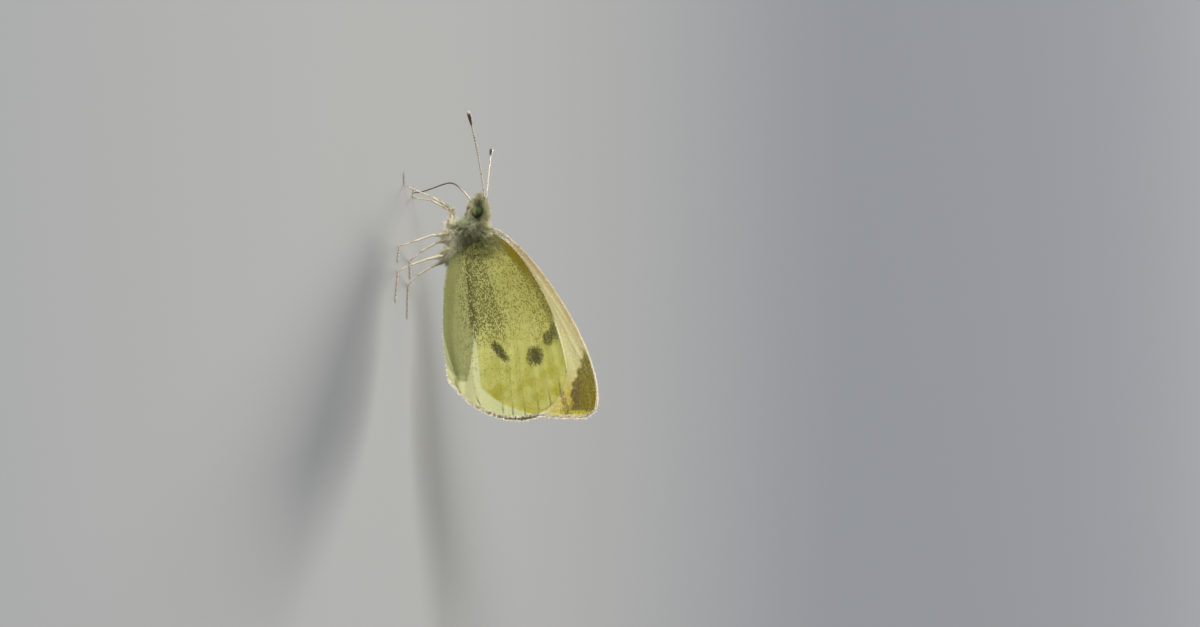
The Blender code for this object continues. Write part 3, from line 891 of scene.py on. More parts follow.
for pair in LEGS:
    for side, sign in SIDES.items():
        points, faces = joined(leg_parts(pair, side, sign))
        points[:, 2] = np.maximum(points[:, 2], 0.0)
        leg = new_mesh("_".join((pair, "leg", side)), points, faces, {"root": points})
        base, knee, ankle = leg_points(pair, side, sign)[:3]
        down = (ankle - base) / np.linalg.norm(ankle - base)
        normals = vectors_of(leg.data.vertex_normals, "vector")
        for key, values in leg_facts(points, normals, pair, down).items():
            set_attribute(leg, key, values)
        hairs = grow(leg.name + "_hair", leg, short_hairs, 30, (0.7, 1.2), 0.2, 21, leg_paint)
        hair_points = vectors_of(hairs.data.vertices, "co")
        hair_points[:, 2] = np.maximum(hair_points[:, 2], 0.0)
        hairs.data.vertices.foreach_set("co", hair_points.astype(np.float32).ravel())
        drop_coat_facts(leg.data)
        nodes = ["_".join((pair, part, side)) for part in ("femur", "tibia", "tarsus")]
        complete(leg, leg_paint, "leg", *nodes)
        complete(hairs, leg_paint, "leg")

# ---- Wings
# Thin membranes on tubular veins, covered with scales. The hindwing lies over the forewing. Both hug the
# body below and meet above it. The membrane ends a fringe's depth inside the wing's outline.
FOREWING = {
    "costa": ((-1.30, 9.40), (-2.10, 13.70), (16.30, 26.25), (20.95, 22.86)),
    "outer": ((20.95, 22.86), (21.15, 18.40), (21.05, 13.30), (17.57, 9.96)),
    "inner": ((0.60, 8.55), (6.05, 8.10), (11.85, 9.20), (17.57, 9.96)),
}
HINDWING = {
    "costa": ((-0.60, 9.30), (-0.80, 13.85), (12.08, 20.11), (16.08, 19.75)),
    "outer": ((16.08, 19.75), (23.20, 19.05), (22.10, 10.55), (17.10, 6.85)),
    "inner": ((1.60, 6.90), (1.60, 4.40), (16.80, 4.95), (17.10, 6.85)),
}
PLATE, PLATE_GAP = 0.5, 0.14  # each wing's room, and the gap between rooms
STEP_HEIGHT = 2.6  # the hindwing climbs onto the forewing over this much height
WING_HUG, WING_MEETING, MEETING_SOFTNESS = 1.06, 1.9, 0.02
MEMBRANE, MARGIN = 0.055, 0.984  # thickness, and how far out it reaches along u
LIES_AT = {"forewing": 0.40, "hindwing": 0.12}  # where in its room each membrane lies
CELLS = (150, 108)

# Veins as (u, v) points: u from root to margin, v from the front edge to the inner edge.
VEINS = {
    "forewing": (
        ((0.02, 0.05), (0.30, 0.030), (0.60, 0.022), (0.74, 0.004)),
        ((0.02, 0.16), (0.30, 0.100), (0.55, 0.115), (0.78, 0.095), (0.99, 0.075)),
        ((0.42, 0.105), (0.62, 0.050), (0.80, 0.004)),
        ((0.62, 0.115), (0.80, 0.050), (0.92, 0.004)),
        ((0.55, 0.115), (0.63, 0.180), (0.80, 0.190), (0.99, 0.205)),
        ((0.63, 0.180), (0.635, 0.26), (0.80, 0.310), (0.99, 0.330)),
        ((0.635, 0.26), (0.60, 0.370)),
        ((0.02, 0.42), (0.30, 0.385), (0.50, 0.375), (0.60, 0.370), (0.80, 0.430), (0.99, 0.460)),
        ((0.52, 0.375), (0.75, 0.500), (0.99, 0.580)),
        ((0.36, 0.380), (0.66, 0.600), (0.99, 0.720)),
        ((0.02, 0.78), (0.40, 0.800), (0.99, 0.880)),
    ),
    "hindwing": (
        ((0.06, 0.22), (0.16, 0.09), (0.34, 0.045), (0.66, 0.030), (0.95, 0.018)),
        ((0.06, 0.34), (0.20, 0.22), (0.34, 0.160), (0.56, 0.130), (0.80, 0.125), (0.99, 0.120)),
        ((0.44, 0.145), (0.57, 0.200), (0.78, 0.225), (0.99, 0.235)),
        ((0.57, 0.200), (0.61, 0.270), (0.80, 0.320), (0.99, 0.338)),
        ((0.61, 0.270), (0.585, 0.370)),
        ((0.06, 0.44), (0.212, 0.498), (0.300, 0.505), (0.385, 0.470), (0.468, 0.440), (0.585, 0.370),
         (0.78, 0.420), (0.99, 0.442)),
        ((0.50, 0.425), (0.75, 0.490), (0.99, 0.530)),
        ((0.40, 0.462), (0.68, 0.545), (0.99, 0.600)),
        ((0.06, 0.50), (0.185, 0.535), (0.258, 0.655), (0.36, 0.720), (0.60, 0.765), (0.99, 0.765)),
        ((0.06, 0.62), (0.30, 0.830), (0.60, 0.900), (0.90, 0.930)),
    ),
}
VEIN_RADIUS, VEIN_SIDES = 0.062, 8
SAG, PLEAT = 0.07, 0.10  # how far the membrane sinks between its veins, and its folds at the margin
WING_LENGTH, WING_WIDTH = 19.0, 11.0
SCALE_STEP, SCALE_GAP, FIRST_ROW = 0.125, 0.105, 0.03  # from row to row, from scale to scale, first row's u
SCALE_RISE = 0.008  # how far above the membrane a scale's root is
ROW_ORDER, SCALE_ORDER = 0.7549, 0.5698  # steps whose multiples spread evenly between 0 and 1


def bezier(points, t):
    """Points of a curve that four points steer."""
    a, b, c, d = (np.array(p, float) for p in points)
    t = np.asarray(t, float)[..., None]
    return a * (1 - t) ** 3 + b * 3 * t * (1 - t) ** 2 + c * 3 * t * t * (1 - t) + d * t**3


def wing_place(outline, u, v):
    """(x, z) in a wing: u runs from root to outer margin, and v from costa to inner margin."""
    u, v = np.asarray(u, float), np.asarray(v, float)
    costa, inner = bezier(outline["costa"], u), bezier(outline["inner"], u)
    outer = bezier(outline["outer"], v)
    root_costa, root_inner = np.array(outline["costa"][0]), np.array(outline["inner"][0])
    apex, tornus = np.array(outline["costa"][3]), np.array(outline["inner"][3])
    u, v = u[..., None], v[..., None]
    root = root_costa * (1 - v) + root_inner * v
    corners = root * (1 - u) + (apex * (1 - v) + tornus * v) * u
    return costa * (1 - v) + inner * v + root * (1 - u) + outer * u - corners


def wing_depth(layer, x, z):
    """Distance of a membrane from the animal's middle plane."""
    middle, half_height, half_width = eased(BODY, x)[:3]
    t = (z - middle) / half_height
    leave = 1 / WING_MEETING
    tangent = math.sqrt(1 - leave**2)
    across = np.where(t < -leave, (1 + leave * t) / tangent, (1 - leave * t) / tangent)
    across = np.where(np.abs(t) <= leave, np.sqrt(np.maximum(1 - t * t, 0)), across)
    spread = WING_HUG * half_width * (across + np.sqrt(across**2 + MEETING_SOFTNESS)) / 2
    depth = spread + PLATE_GAP / 2 + LIES_AT[layer]
    if layer == "hindwing":
        floor_of_forewing = bezier(FOREWING["inner"], np.clip((x - 0.6) / 17.0, 0, 1))[..., 1]
        over = soft_step(z - floor_of_forewing + STEP_HEIGHT + 0.6, 0, STEP_HEIGHT)
        depth = depth + over * (PLATE + PLATE_GAP)
    return depth


def into_thorax(u, x, z, depth):
    """Near its root a wing curves in to its hinge, just under the skin of the thorax."""
    middle, half_height, half_width, coat = eased(BODY, x)
    high = (z - middle) / (half_height - coat)
    hinge = 0.85 * (half_width - coat) * np.sqrt(np.maximum(1 - high**2, 0.04))
    share = soft_step(u, 0.0, 0.17)
    return hinge * (1 - share) + depth * share


def settled(layer, u, x, z):
    """How far a wing comes in behind the body, and the hindwing's margin on the forewing under it."""
    inward = 0.07 * soft_step(x, 9.0, 17.5) * soft_step(z, 9.0, 11.5)
    if layer == "forewing":
        return inward
    return inward + 0.24 * soft_step(u, 0.80, 0.97) * soft_step(depth_inside(FOREWING, x, z), -0.3, 0.5)


def margin_at(v):
    """How far out along u the membrane reaches: a little less at the apex, which is round."""
    return MARGIN - 0.040 * soft_step(v, 0.11, 0.0) ** 2


def vein_path(outline, vein, count=44):
    """A vein's (u, v) and (x, z) points, on a smooth curve through its own points."""
    table = np.array([(k, u, v) for k, (u, v) in enumerate(vein)])
    uv = np.stack(eased(table, np.linspace(0, len(vein) - 1, count)), 1)
    uv[:, 0] = np.minimum(uv[:, 0], margin_at(uv[:, 1]) - 0.002)
    return uv, wing_place(outline, uv[:, 0], uv[:, 1])


def distance_to(path, x, z):
    """Shortest distance of each point (x, z) from a bent line."""
    best = np.full(x.shape, 9.0)
    for (ax, az), (bx, bz) in zip(path, path[1:]):
        dx, dz = bx - ax, bz - az
        t = np.clip(((x - ax) * dx + (z - az) * dz) / max(dx * dx + dz * dz, 1e-9), 0, 1)
        best = np.minimum(best, np.hypot(x - ax - t * dx, z - az - t * dz))
    return best


def depth_inside(outline, x, z):
    """How far inside a wing's outline each point (x, z) lies. Outside, it is below 0."""
    t = np.linspace(0, 1, 40)
    edges = (("costa", t), ("outer", t), ("inner", t[::-1]))
    rim = np.concatenate([bezier(outline[edge], along) for edge, along in edges])
    odd = np.zeros(x.shape, bool)
    for (ax, az), (bx, bz) in zip(rim, np.roll(rim, -1, 0)):
        if az != bz:
            odd ^= ((az > z) != (bz > z)) & (x < ax + (z - az) * (bx - ax) / (bz - az))
    away = distance_to(rim, x, z)
    return np.where(odd, away, -away)


def abdomen_shade_mask(x, z):
    """1 where the abdomen's shade is painted on the hindwing, where the abdomen shows through it, as seen
    from a little above and behind.
    """
    middle, half_height = eased(BODY, x - 0.55)[:2]
    high = np.abs(z - middle - 0.34) / (half_height + 0.18)
    return soft_step(high, 1.04, 0.94) * soft_step(x, 16.95, 16.75)


def dust_cover(layer, u, v):
    """How thickly the dark scales lie: thick at the root and in the wedge behind the cell, thin outward."""
    if layer == "forewing":
        base = 0.5 * soft_step(u, 0.35, 0.10)
        tip = 0.5 * soft_step(u, 0.86, 0.94) * soft_step(np.abs(v - 0.24), 0.05, 0.02)
        return base + tip
    wedge = soft_step(u, 0.66, 0.50) * soft_step(v, 0.40, 0.47) * soft_step(v, 0.76, 0.70)
    costa = 0.64 * soft_step(v, 0.34, 0.10) * soft_step(u, 0.74, 0.58)
    cell = 0.46 * soft_step(u, 0.66, 0.45) + 0.16 * soft_step(u, 0.95, 0.70) * soft_step(v, 0.30, 0.45)
    fold = soft_step(np.abs(v - 0.70), 0.06, 0.0) * soft_step(u, 0.14, 0.26) * soft_step(u, 0.62, 0.50)
    cover = np.max([wedge, costa, cell], axis=0) + 0.35 * fold
    return cover * soft_step(v, 0.90, 0.76) * soft_step(u, 0.02, 0.12)


def membrane(layer, outline, u, v):
    """x, depth and z of a wing's middle surface, and how far each point is from a vein."""
    x, z = np.moveaxis(wing_place(outline, u, v), -1, 0)
    near_vein = np.full(x.shape, 9.0)
    for vein in VEINS[layer]:
        near_vein = np.minimum(near_vein, distance_to(vein_path(outline, vein)[1], x, z))
    sag = SAG * (1 - np.exp(-((near_vein / 0.45) ** 2)))
    pleat = PLEAT * np.exp(-((near_vein / 0.16) ** 2)) * soft_step(u, 0.90, 0.99)
    depth = into_thorax(u, x, z, wing_depth(layer, x, z)) - settled(layer, u, x, z)
    return x, depth - sag - pleat, z, near_vein


def wing_facts(layer, u, v, x, z, near_vein, outer_side, order=0.5):
    """What a wing's paint needs to know at each point, by the names of its attributes."""
    order = np.broadcast_to(order, u.shape)
    behind = soft_step(depth_inside(FOREWING, x, z), -0.10, 0.16) if layer == "hindwing" else x * 0
    return {
        "wing": np.stack([u, v, u * 0 + outer_side], -1).reshape(-1, 3),
        "show": np.stack([behind, abdomen_shade_mask(x, z), near_vein], -1).reshape(-1, 3),
        "dust": np.stack([dust_cover(layer, u, v), order, u * 0], -1).reshape(-1, 3),
        "root": np.stack([x, x * 0, z], -1).reshape(-1, 3),
    }


def wing_parts(layer, outline, sign):
    """Points and faces of one wing, with its facts: both faces of its membrane, its rim and its veins."""
    cells_u, cells_v = CELLS
    u, v = np.meshgrid(np.linspace(0, 1, cells_u + 1), np.linspace(0, 1, cells_v + 1), indexing="ij")
    u = u * margin_at(v)
    x, depth, z, near_vein = membrane(layer, outline, u, v)
    points, facts = [], []
    for outer_side in (0.0, 1.0):
        y = sign * (depth + (outer_side - 0.5) * MEMBRANE)
        points.append(np.stack([x, y, z], -1).reshape(-1, 3))
        facts.append(wing_facts(layer, u, v, x, z, near_vein, outer_side))
    row, sheet = cells_v + 1, (cells_u + 1) * (cells_v + 1)
    faces = []
    for i in range(cells_u):
        for j in range(cells_v):
            a = i * row + j
            faces.append((a, a + row, a + row + 1, a + 1))
            faces.append((a + sheet, a + 1 + sheet, a + row + 1 + sheet, a + row + sheet))
    rim = [i * row for i in range(cells_u)] + [cells_u * row + j for j in range(cells_v)]
    rim += [i * row + cells_v for i in range(cells_u, 0, -1)] + list(range(cells_v, 0, -1))
    for a, b in zip(rim, rim[1:] + rim[:1]):
        faces.append((a, b, b + sheet, a + sheet))
    parts = [(np.concatenate(points), faces)]
    for vein in VEINS[layer]:
        uv, path = vein_path(outline, vein)
        vein_depth = into_thorax(uv[:, 0], *path.T, wing_depth(layer, *path.T))
        vein_depth = vein_depth - PLEAT * soft_step(uv[:, 0], 0.90, 0.99)
        vein_depth = vein_depth - settled(layer, uv[:, 0], *path.T)
        course = np.stack([path[:, 0], sign * vein_depth, path[:, 1]], 1)
        vein_points, vein_faces = tube(course, VEIN_RADIUS * (1.25 - 0.75 * uv[:, 0]), VEIN_SIDES)
        parts.append((vein_points, vein_faces))
        outside = (vein_points[:, 1] * sign > np.repeat(vein_depth, VEIN_SIDES)).astype(float)
        u, v = np.repeat(uv, VEIN_SIDES, 0).T
        x, z = np.repeat(path, VEIN_SIDES, 0).T
        facts.append(wing_facts(layer, u, v, x, z, u * 0, outside))
    together = {name: np.concatenate([fact[name] for fact in facts]) for name in facts[0]}
    return *joined(parts), together


def scale_rows(outline):
    """(u, v) and order of every scale: rows across the wing, each set half a scale from the last.

    A scale is dark where its order is below the dusting, and neighbours' orders lie far apart.
    """
    chance = np.random.default_rng(17)
    places = []
    rows = int(WING_LENGTH / SCALE_STEP)
    for k in range(rows):
        u = FIRST_ROW + (MARGIN - 0.004 - FIRST_ROW) * k / (rows - 1)
        row_line = wing_place(outline, np.full(60, u), np.linspace(0, 1, 60))
        count = int(np.linalg.norm(np.diff(row_line, axis=0), axis=1).sum() / SCALE_GAP)
        v = (np.arange(count) + 0.25 + 0.5 * (k % 2)) / count
        order = ROW_ORDER * k + SCALE_ORDER * np.arange(count)
        order = (order + chance.uniform(-0.34, 0.34, count)) % 1.0
        places.append(np.stack([np.full(count, u), v, order], 1))
    places = np.concatenate(places)
    places[:, 0] += chance.uniform(-0.3, 0.3, len(places)) * SCALE_STEP / WING_LENGTH
    places[:, 1] += chance.uniform(-0.3, 0.3, len(places)) * SCALE_GAP / WING_WIDTH
    places[:, 1] = np.clip(places[:, 1], 0.0, 1.0)
    return places[places[:, 0] < margin_at(places[:, 1]) - 0.003]


def wing_ground(name, layer, outline, sign, u, v, faces, size, cover, lift, order=0.5):
    """The outer face of a wing at chosen points, as the ground that a coat grows on."""

    def outer_face(more_u=0.0, more_v=0.0):
        """Points of the outer face, then the rest of what membrane() says of them."""
        x, depth, z, near_vein = membrane(layer, outline, u + more_u, v + more_v)
        return np.stack([x, sign * (depth + MEMBRANE / 2), z], -1).reshape(-1, 3), x, z, near_vein

    points, x, z, near_vein = outer_face()
    ahead = outer_face(0.006)[0] - outer_face(-0.006)[0]
    aside = outer_face(0.0, 0.008)[0] - outer_face(0.0, -0.008)[0]
    out = np.cross(ahead, aside)
    out *= sign * np.sign(out[:, 1:2])
    out /= np.linalg.norm(out, axis=1)[:, None]
    facts = wing_facts(layer, u, v, x, z, near_vein, 1.0, order) | {
        "skin_uv": np.stack([u, v, u * 0], -1).reshape(-1, 3),
        "size": np.broadcast_to(size, u.shape).ravel(),
        "cover": np.broadcast_to(cover, u.shape).ravel(),
        "aim": aimed(out, ahead, lift),
        "out": out,
    }
    return new_mesh(name, points + out * SCALE_RISE, faces, facts)


SHOW_THROUGH_GREY, DUST_AND_SHADE_DARK = tint(50, 48, 14), tint(70, 62, 16)
UPPER_WHITE, UPPER_GREY, UPPER_BLACK = tint(236, 234, 220), tint(150, 152, 138), tint(58, 56, 48)
UPPER_RIM = tint(244, 240, 222)


class WingFinish(Finish):
    """A wing's finish. It knows where a point is, and how much light its markings hold back so far."""

    def __init__(self, name):
        super().__init__(name)
        self.u, self.v, self.outer = self.split(self.attribute("wing"))
        # body is the mask of the abdomen's painted shade on the hindwing
        self.behind, self.body, self.vein = self.split(self.attribute("show"))
        self.dust, self.chance = self.split(self.attribute("dust"))[:2]
        self.up_scale, self.is_scale = self.split(self.attribute("tuft_uv"))[1:]
        self.drawing_place = self.attribute("root")
        self.cloud = self.noise(self.drawing_place, 0.55, 3.0)
        self.grain = self.noise(self.drawing_place, 9.0)
        self.dark = 0.0

    def mark(self, where, strength, colour, holds_back=0.0):
        """Lays a marking over the colour so far. It may also hold back a share of the light."""
        self.over(where * strength, colour)
        if holds_back:
            self.dark = self.most(self.dark, where * holds_back)

    def spot(self, centre, size, lean=0.0):
        """How much of a soft dark spot covers a point. centre and size are (x, z) in the drawing."""
        x, z = self.split(self.drawing_place)[::2]
        x, z = x - centre[0], z - centre[1]
        reach = (self.grain - 0.5) + (self.chance - 0.5)
        for across in ((x + z * lean) / size[0], (z - x * lean) / size[1]):
            reach = reach + self.maths("POWER", self.size_of(across), 2.6)
        return self.step(reach, 1.95, 0.25)

    def scatter_dust(self, pale, share):
        """Pale scales that differ a little, with painted shade toward each scale's root, where the scale
        before lies over it, and dark ones among them as thickly as the dusting says.
        """
        # Painted shade: each scale a little darker toward its root
        self.over(self.step(self.up_scale, 0.5, 0.0) * self.is_scale * 0.10, DUST_AND_SHADE_DARK)
        self.over(self.step(self.chance, 0.60, 0.96) * self.is_scale * share * 0.30, pale)
        is_dark = self.step(self.dust * 0.60 - self.chance, -0.03, 0.06) * self.is_scale
        self.mark(is_dark * (0.40 + self.dust * 0.38), 1.0, DUST_AND_SHADE_DARK, 1.0)
        self.over(self.dust * (1.0 - self.is_scale) * 0.30, DUST_AND_SHADE_DARK)

    def show_upper_side(self, grey_reach, black_marks, pale_edge=0.0):
        """Keeps the colour so far for the outer face. The inner one is white, grey at the root."""
        outer_colour = self.colour
        self.colour = UPPER_WHITE
        self.over(self.step(self.u, grey_reach, 0.05), UPPER_GREY)
        for black_mark in black_marks:
            self.over(black_mark, UPPER_BLACK)
        self.over(self.most(self.step(self.u, MARGIN - 0.040, MARGIN - 0.012), pale_edge), UPPER_RIM)
        self.colour = self.mix(self.outer, self.colour, outer_colour)

    def end(self, through):
        """A satin surface with a fine grain. Dark scales let little light through."""
        share = (1.0 - self.dark * 0.75) * 0.34
        self.surface(0.68, self.bump(self.grain, 0.000006), 0.12, through, share)


def hindwing_finish():
    """Underside: yellow-green dusted with grey. Painted light: paler where only the hindwing lies against
    the light from behind. Painted shade where the abdomen and the dark marks behind show through, along the
    costal edge, in the marginal pleats and at the root.
    """
    paint = WingFinish("hindwing_scales")
    u, v, vein, step = paint.u, paint.v, paint.vein, paint.step
    # Painted light: paler where no forewing lies behind, as light from behind comes through the hindwing
    # alone
    painted_backlight = (1.0 - paint.behind) * step(u, 0.30, 0.55)
    inner_band = step(v, 0.66, 0.80) * step(u, 0.96, 0.80) * (1.0 - painted_backlight)
    wedge = step(u, 0.64, 0.34) * step(v, 0.40, 0.48) * step(v, 0.80, 0.68)
    # Painted shade along the hindwing's costal edge
    costa_shade = step(v, 0.085, 0.020) * step(u, 0.18, 0.30) * step(u, 0.88, 0.66)
    margin = step(u, MARGIN - 0.016, MARGIN - 0.002) * (1.0 - paint.behind)
    paint.colour = tint(184, 183, 104)
    fields = (  # where, strength, colour, how much light it holds back
        (step(u, 0.45, 0.92), 1.0, tint(157, 149, 36)),
        (step(paint.cloud, 0.35, 0.65), 0.5, tint(204, 205, 130)),
        (step(v, 0.45, 0.02) * step(u, 0.80, 0.45), 0.65, tint(154, 142, 48)),
        # Painted light where only the hindwing lies against the light from behind
        (painted_backlight, 0.92, tint(200, 202, 154)),
        (step(u, 0.66, 0.36), 0.66, tint(150, 147, 74)),
        (inner_band, 0.6, tint(162, 163, 108)),
        # Painted shade of the abdomen behind the hindwing
        (paint.body * step(u, 0.10, 0.30), 0.9, tint(143, 145, 92)),
        # Dark olive root: the dusting's own colour, deepened with painted shade of the thorax behind
        (step(u, 0.28, 0.06), 0.94, tint(56, 58, 12), 0.6),
        (wedge, 0.42, tint(128, 130, 78)),
        # Painted shade along the costal edge
        (costa_shade, 0.8, tint(102, 92, 34), 0.5),
    )
    # Painted shade: spots where the upper side's costal spot and the forewing's two spots show through
    spots = (  # centre, size, lean, strength
        ((10.55, 18.40), (1.45, 0.85), -0.35, 0.74),
        ((11.80, 17.40), (0.85, 0.55), 0.10, 0.86),
        ((13.85, 16.05), (1.05, 0.90), 0.05, 0.94),
        ((13.40, 11.95), (1.75, 0.62), 0.85, 0.95),
    )
    lines = (  # veins, painted shade in their pleats at the margin, the costal edge and the margin itself
        (step(vein, 0.16, 0.03), 0.30, tint(140, 138, 70)),
        # Painted shade in the folds of the margin's pleats
        (step(vein, 0.13, 0.02) * step(u, 0.86, 0.95), 0.75, tint(88, 84, 44)),
        (step(v, 0.020, 0.006) * step(u, 0.60, 0.70), 0.8, tint(226, 222, 178)),
        (margin, 0.7, tint(226, 224, 180)),
    )
    for field in fields:
        paint.mark(*field)
    for *place, strength in spots:
        paint.mark(paint.spot(*place), strength, SHOW_THROUGH_GREY, strength)
    for field in lines:
        paint.mark(*field)
    paint.scatter_dust(tint(204, 202, 140), 1.0 - paint.dark * 0.9)
    streak = step(v, 0.13, 0.05) * step(u, 0.03, 0.10) * step(u, 0.52, 0.28)
    paint.mark(streak, 0.94, tint(106, 92, 0), 0.6)
    paint.show_upper_side(0.35, [paint.spot((10.6, 17.6), (1.0, 0.6))])
    paint.end(tint(226, 224, 150))
    return paint


def forewing_finish():
    """Underside: cream, brown along the costa, with an olive apex above a yellow field. The olive is
    painted shade of the upper side's black apex patch showing through.
    """
    paint = WingFinish("forewing_scales")
    u, v, grain, step = paint.u, paint.v, paint.grain, paint.step
    brown_costa = step(v + (grain - 0.5) * 0.06, 0.085, 0.020) * step(u, 0.14, 0.30) * step(u, 0.76, 0.55)
    costa_veins = step(paint.vein, 0.10, 0.02) * step(v, 0.20, 0.12)
    ragged = (paint.noise(paint.drawing_place, 1.1, 1.0) - 0.5) * 0.13
    patch_edge = v - (paint.cloud - 0.5) * 0.05 - (grain - 0.5) * 0.03 + ragged
    patch = step(patch_edge - step(u, 0.60, 0.86) * 0.19, 0.03, -0.01)
    patch = patch * step(u + patch_edge * 0.4, 0.66, 0.71)
    mottle = step(grain, 0.40, 0.62)
    patch_core = patch * step(paint.size_of(v - 0.175), 0.055, 0.02) * step(u, 0.74, 0.82)
    yellow_rim = step(u, 0.940, 0.958) * step(v, 0.02, 0.07) * step(v, 0.40, 0.30)
    stripe = step(paint.size_of(v - 0.245 + (u - 0.92) * 0.6), 0.030, 0.012)
    stripe = stripe * step(u, 0.80, 0.85) * step(grain, 0.38, 0.55)
    costal_rim = step(v, 0.014, 0.003) * step(u, 0.10, 0.30) * 0.8
    paint.dark = patch * (0.9 - 0.5 * mottle)
    paint.colour = tint(200, 194, 138)
    fields = (  # where, strength, colour
        (step(u, 0.52, 0.24), 1.0, tint(176, 162, 124)),
        (step(u, 0.24, 0.12), 1.0, tint(236, 230, 214)),
        (brown_costa, 0.55, tint(156, 130, 98)),
        (costa_veins, 0.55, tint(158, 138, 118)),
        (step(u, 0.70, 0.90) * step(v, 0.42, 0.24), 0.85, tint(178, 156, 28)),
        # Painted shade: the upper side's black apex patch seen through the wing, olive with a darker core
        (patch, 0.92, paint.mix(mottle, tint(84, 75, 4), tint(114, 103, 20))),
        (patch_core, 0.8, tint(88, 74, 34)),
        (yellow_rim * step(grain, 0.36, 0.56), 0.8, tint(190, 178, 60)),
        (stripe, 0.95, tint(120, 104, 44)),
        (paint.spot((13.78, 16.05), (0.95, 0.85)), 0.85, UPPER_BLACK),
        (paint.spot((13.3, 11.82), (0.85, 0.75)), 0.85, UPPER_BLACK),
        (step(u, MARGIN - 0.014, MARGIN - 0.002), 0.7, tint(232, 222, 184)),
        (costal_rim, 1.0, tint(208, 192, 158)),
    )
    for field in fields:
        paint.mark(*field)
    paint.scatter_dust(tint(236, 228, 190), 1.0 - patch * 0.75)
    spots = [paint.spot((13.78, 16.05), (1.0, 0.9)), paint.spot((13.3, 11.82), (0.9, 0.8))]
    paint.show_upper_side(0.30, [*spots, patch], costal_rim)
    paint.end(tint(230, 222, 160))
    return paint


WING_LAYERS = {"forewing": (FOREWING, forewing_finish()), "hindwing": (HINDWING, hindwing_finish())}
fringe_paint = Finish("fringe_scales")
fringe_noise = fringe_paint.noise(fringe_paint.attribute("root"), 2.2)
fringe_paint.colour = tint(236, 231, 212)
fringe_paint.over(fringe_paint.step(fringe_noise, 0.4, 0.6), tint(210, 203, 178))
fringe_paint.surface(0.7, None, 0.2, tint(255, 252, 240), 0.78)


def fringe_tuft(name, blades, width, spread, seed):
    """A few long flat scales side by side, of different lengths."""
    chance = np.random.default_rng(seed)
    parts = []
    for _ in range(blades):
        lean, reach = chance.uniform(-spread, spread), chance.uniform(0.6, 1.0)
        foot = chance.uniform(-0.1, 0.1)
        outline = [
            (0, foot - width / 3, -0.1),
            (0, foot + width / 3, -0.1),
            (0, foot + lean * 0.6 + width / 2, reach * 0.6),
            (0, foot + lean, reach),
            (0, foot + lean * 0.6 - width / 2, reach * 0.6),
        ]
        points = [*outline, (width * 0.3, foot + lean * 0.5, reach * 0.5)]
        parts.append((points, ROOF_OF_FIVE))
    return keep_tuft(name, parts)


fringe_scales = fringe_tuft("tuft_fringe", 4, 0.16, 0.22, 8)
shingle = shingle_tuft("tuft_shingle", 0.66, 0.03)

FRINGE_LENGTH = 0.52
INNER_SHORTER, HIDDEN_SHORTER = 0.30, 0.32  # along the inner margin, and where it lies on the forewing
STRIP_POINTS, INNER_POINTS, INNER_REACH = 140, 90, 0.16
DRAWING_MIDDLE = (9.0, 0.0, 13.0)


def margin_strip(name, layer, outline, sign):
    """A narrow band round the outer margin, and up the hindwing's inner one, that the fringe grows on."""
    v = np.linspace(0, 1, STRIP_POINTS)
    u = margin_at(v)
    if layer == "hindwing":
        u = np.concatenate([u, np.linspace(MARGIN, INNER_REACH, INNER_POINTS)])
        v = np.concatenate([v, np.ones(INNER_POINTS)])
    x, depth, z = membrane(layer, outline, u, v)[:3]
    ends = np.stack([x, sign * depth, z], 1)
    outward = np.cross(np.gradient(ends, axis=0), (0.0, 1.0, 0.0))
    outward *= np.sign((outward * (ends - DRAWING_MIDDLE)).sum(1))[:, None]
    outward /= np.linalg.norm(outward, axis=1)[:, None]
    half = np.array((0, sign * MEMBRANE / 2, 0))
    strip = np.concatenate([ends - half, ends + half])
    count = len(ends)
    faces = [(j, j + 1, j + 1 + count, j + count) for j in range(count - 1)]
    inner_margin = soft_step(u, MARGIN - 0.001, MARGIN - 0.32)
    hidden = soft_step(depth_inside(FOREWING, x, z), 0.1, 0.6) if layer == "hindwing" else x * 0
    length = FRINGE_LENGTH - INNER_SHORTER * inner_margin - HIDDEN_SHORTER * hidden
    return new_mesh(name, strip, faces, {
        "root": strip,
        "skin_uv": np.tile(np.stack([u, v, u * 0], 1), (2, 1)),
        "size": np.tile(length * (0.6 + 0.4 * soft_step(v, 0.0, 0.1)), 2),
        "cover": np.tile((1.0 - 0.85 * inner_margin) * (1.0 - hidden), 2),
        "aim": np.tile(outward, (2, 1)),
        "out": np.tile((0.0, sign, 0.0), (2 * count, 1)),
    })


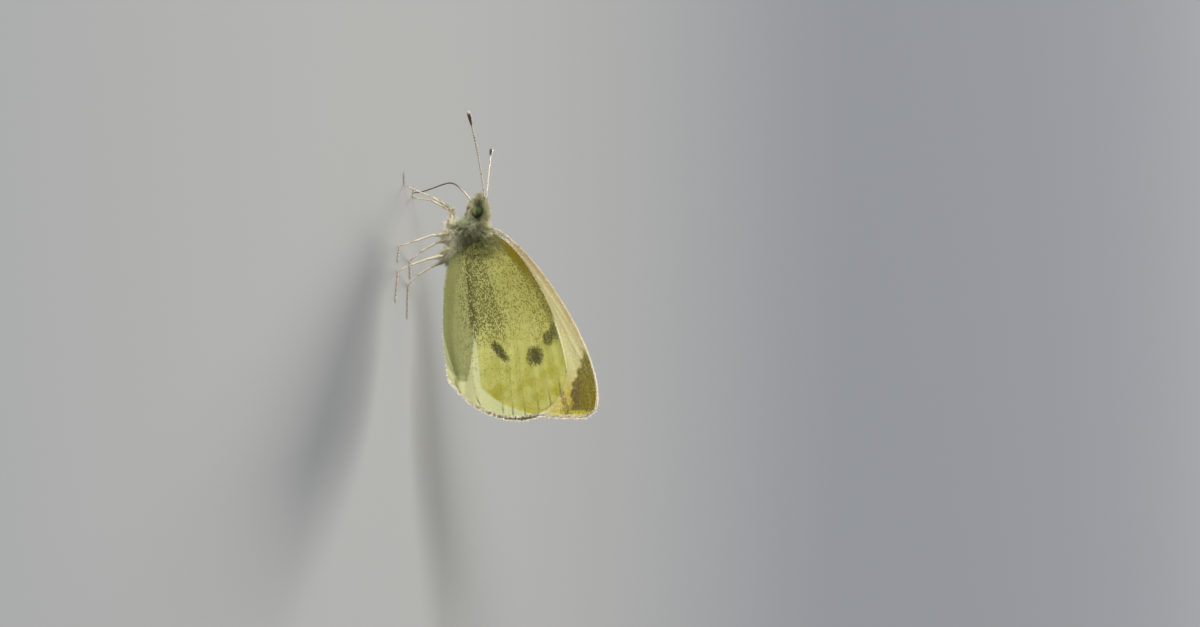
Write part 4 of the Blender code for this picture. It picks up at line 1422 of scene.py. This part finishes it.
# The hair at a wing's root stands on a grid over the first quarter of the wing
ROOT_CELLS, ROOT_REACH = (24, 40), 0.26
along, across = np.linspace(0.0, ROOT_REACH, ROOT_CELLS[0]), np.linspace(0, 1, ROOT_CELLS[1])
root_u, root_v = np.meshgrid(along, across, indexing="ij")
index = np.arange(root_u.size).reshape(ROOT_CELLS)
root_faces = np.stack([index[:-1, :-1], index[1:, :-1], index[1:, 1:], index[:-1, 1:]], -1).reshape(-1, 4)
root_faces = [tuple(face) for face in root_faces]
root_length, root_cover = 0.95 - 2.2 * root_u, soft_step(root_u, 0.25, 0.05)
root_patch = (root_u, root_v, root_faces, root_length, root_cover, 16.0)

# Tufts per square millimetre, sizes, tousle, seed
SCALE_GROWTH, ROOT_GROWTH = (None, (0.85, 1.15), 0.08, 31), (42, (0.7, 1.2), 0.20, 33)
FRINGE_GROWTH = (520, (0.30, 1.0), 0.24, 41)
for layer, (outline, paint) in WING_LAYERS.items():
    rows = scale_rows(outline)
    if layer == "forewing":
        rows = rows[depth_inside(HINDWING, *wing_place(outline, *rows[:, :2].T).T) < 0.4]
    rows_u, rows_v, order = rows.T
    for side, sign in SIDES.items():
        name = layer + "_" + side
        where = (layer, outline, sign)
        wing = new_mesh("wing_" + name, *wing_parts(*where))
        rows_ground = wing_ground("rows_" + name, *where, rows_u, rows_v, [], 0.25, 1.0, 7.0, order)
        scales = grow("scales_" + name, rows_ground, shingle, *SCALE_GROWTH, paint)
        base = wing_ground("base_" + name, *where, *root_patch)
        base_hair = grow("base_hair_" + name, base, long_hairs, *ROOT_GROWTH, hair_paint)
        strip = margin_strip("margin_" + name, *where)
        fringe = grow("fringe_" + name, strip, fringe_scales, *FRINGE_GROWTH, fringe_paint)
        for helper in (rows_ground, base, strip):
            bpy.data.objects.remove(helper)
        complete(wing, paint, "wing", name)
        complete(scales, paint, "wing")
        complete(base_hair, hair_paint, "wing")
        complete(fringe, fringe_paint, "wing")

for tuft in tufts_made:
    bpy.data.objects.remove(tuft)
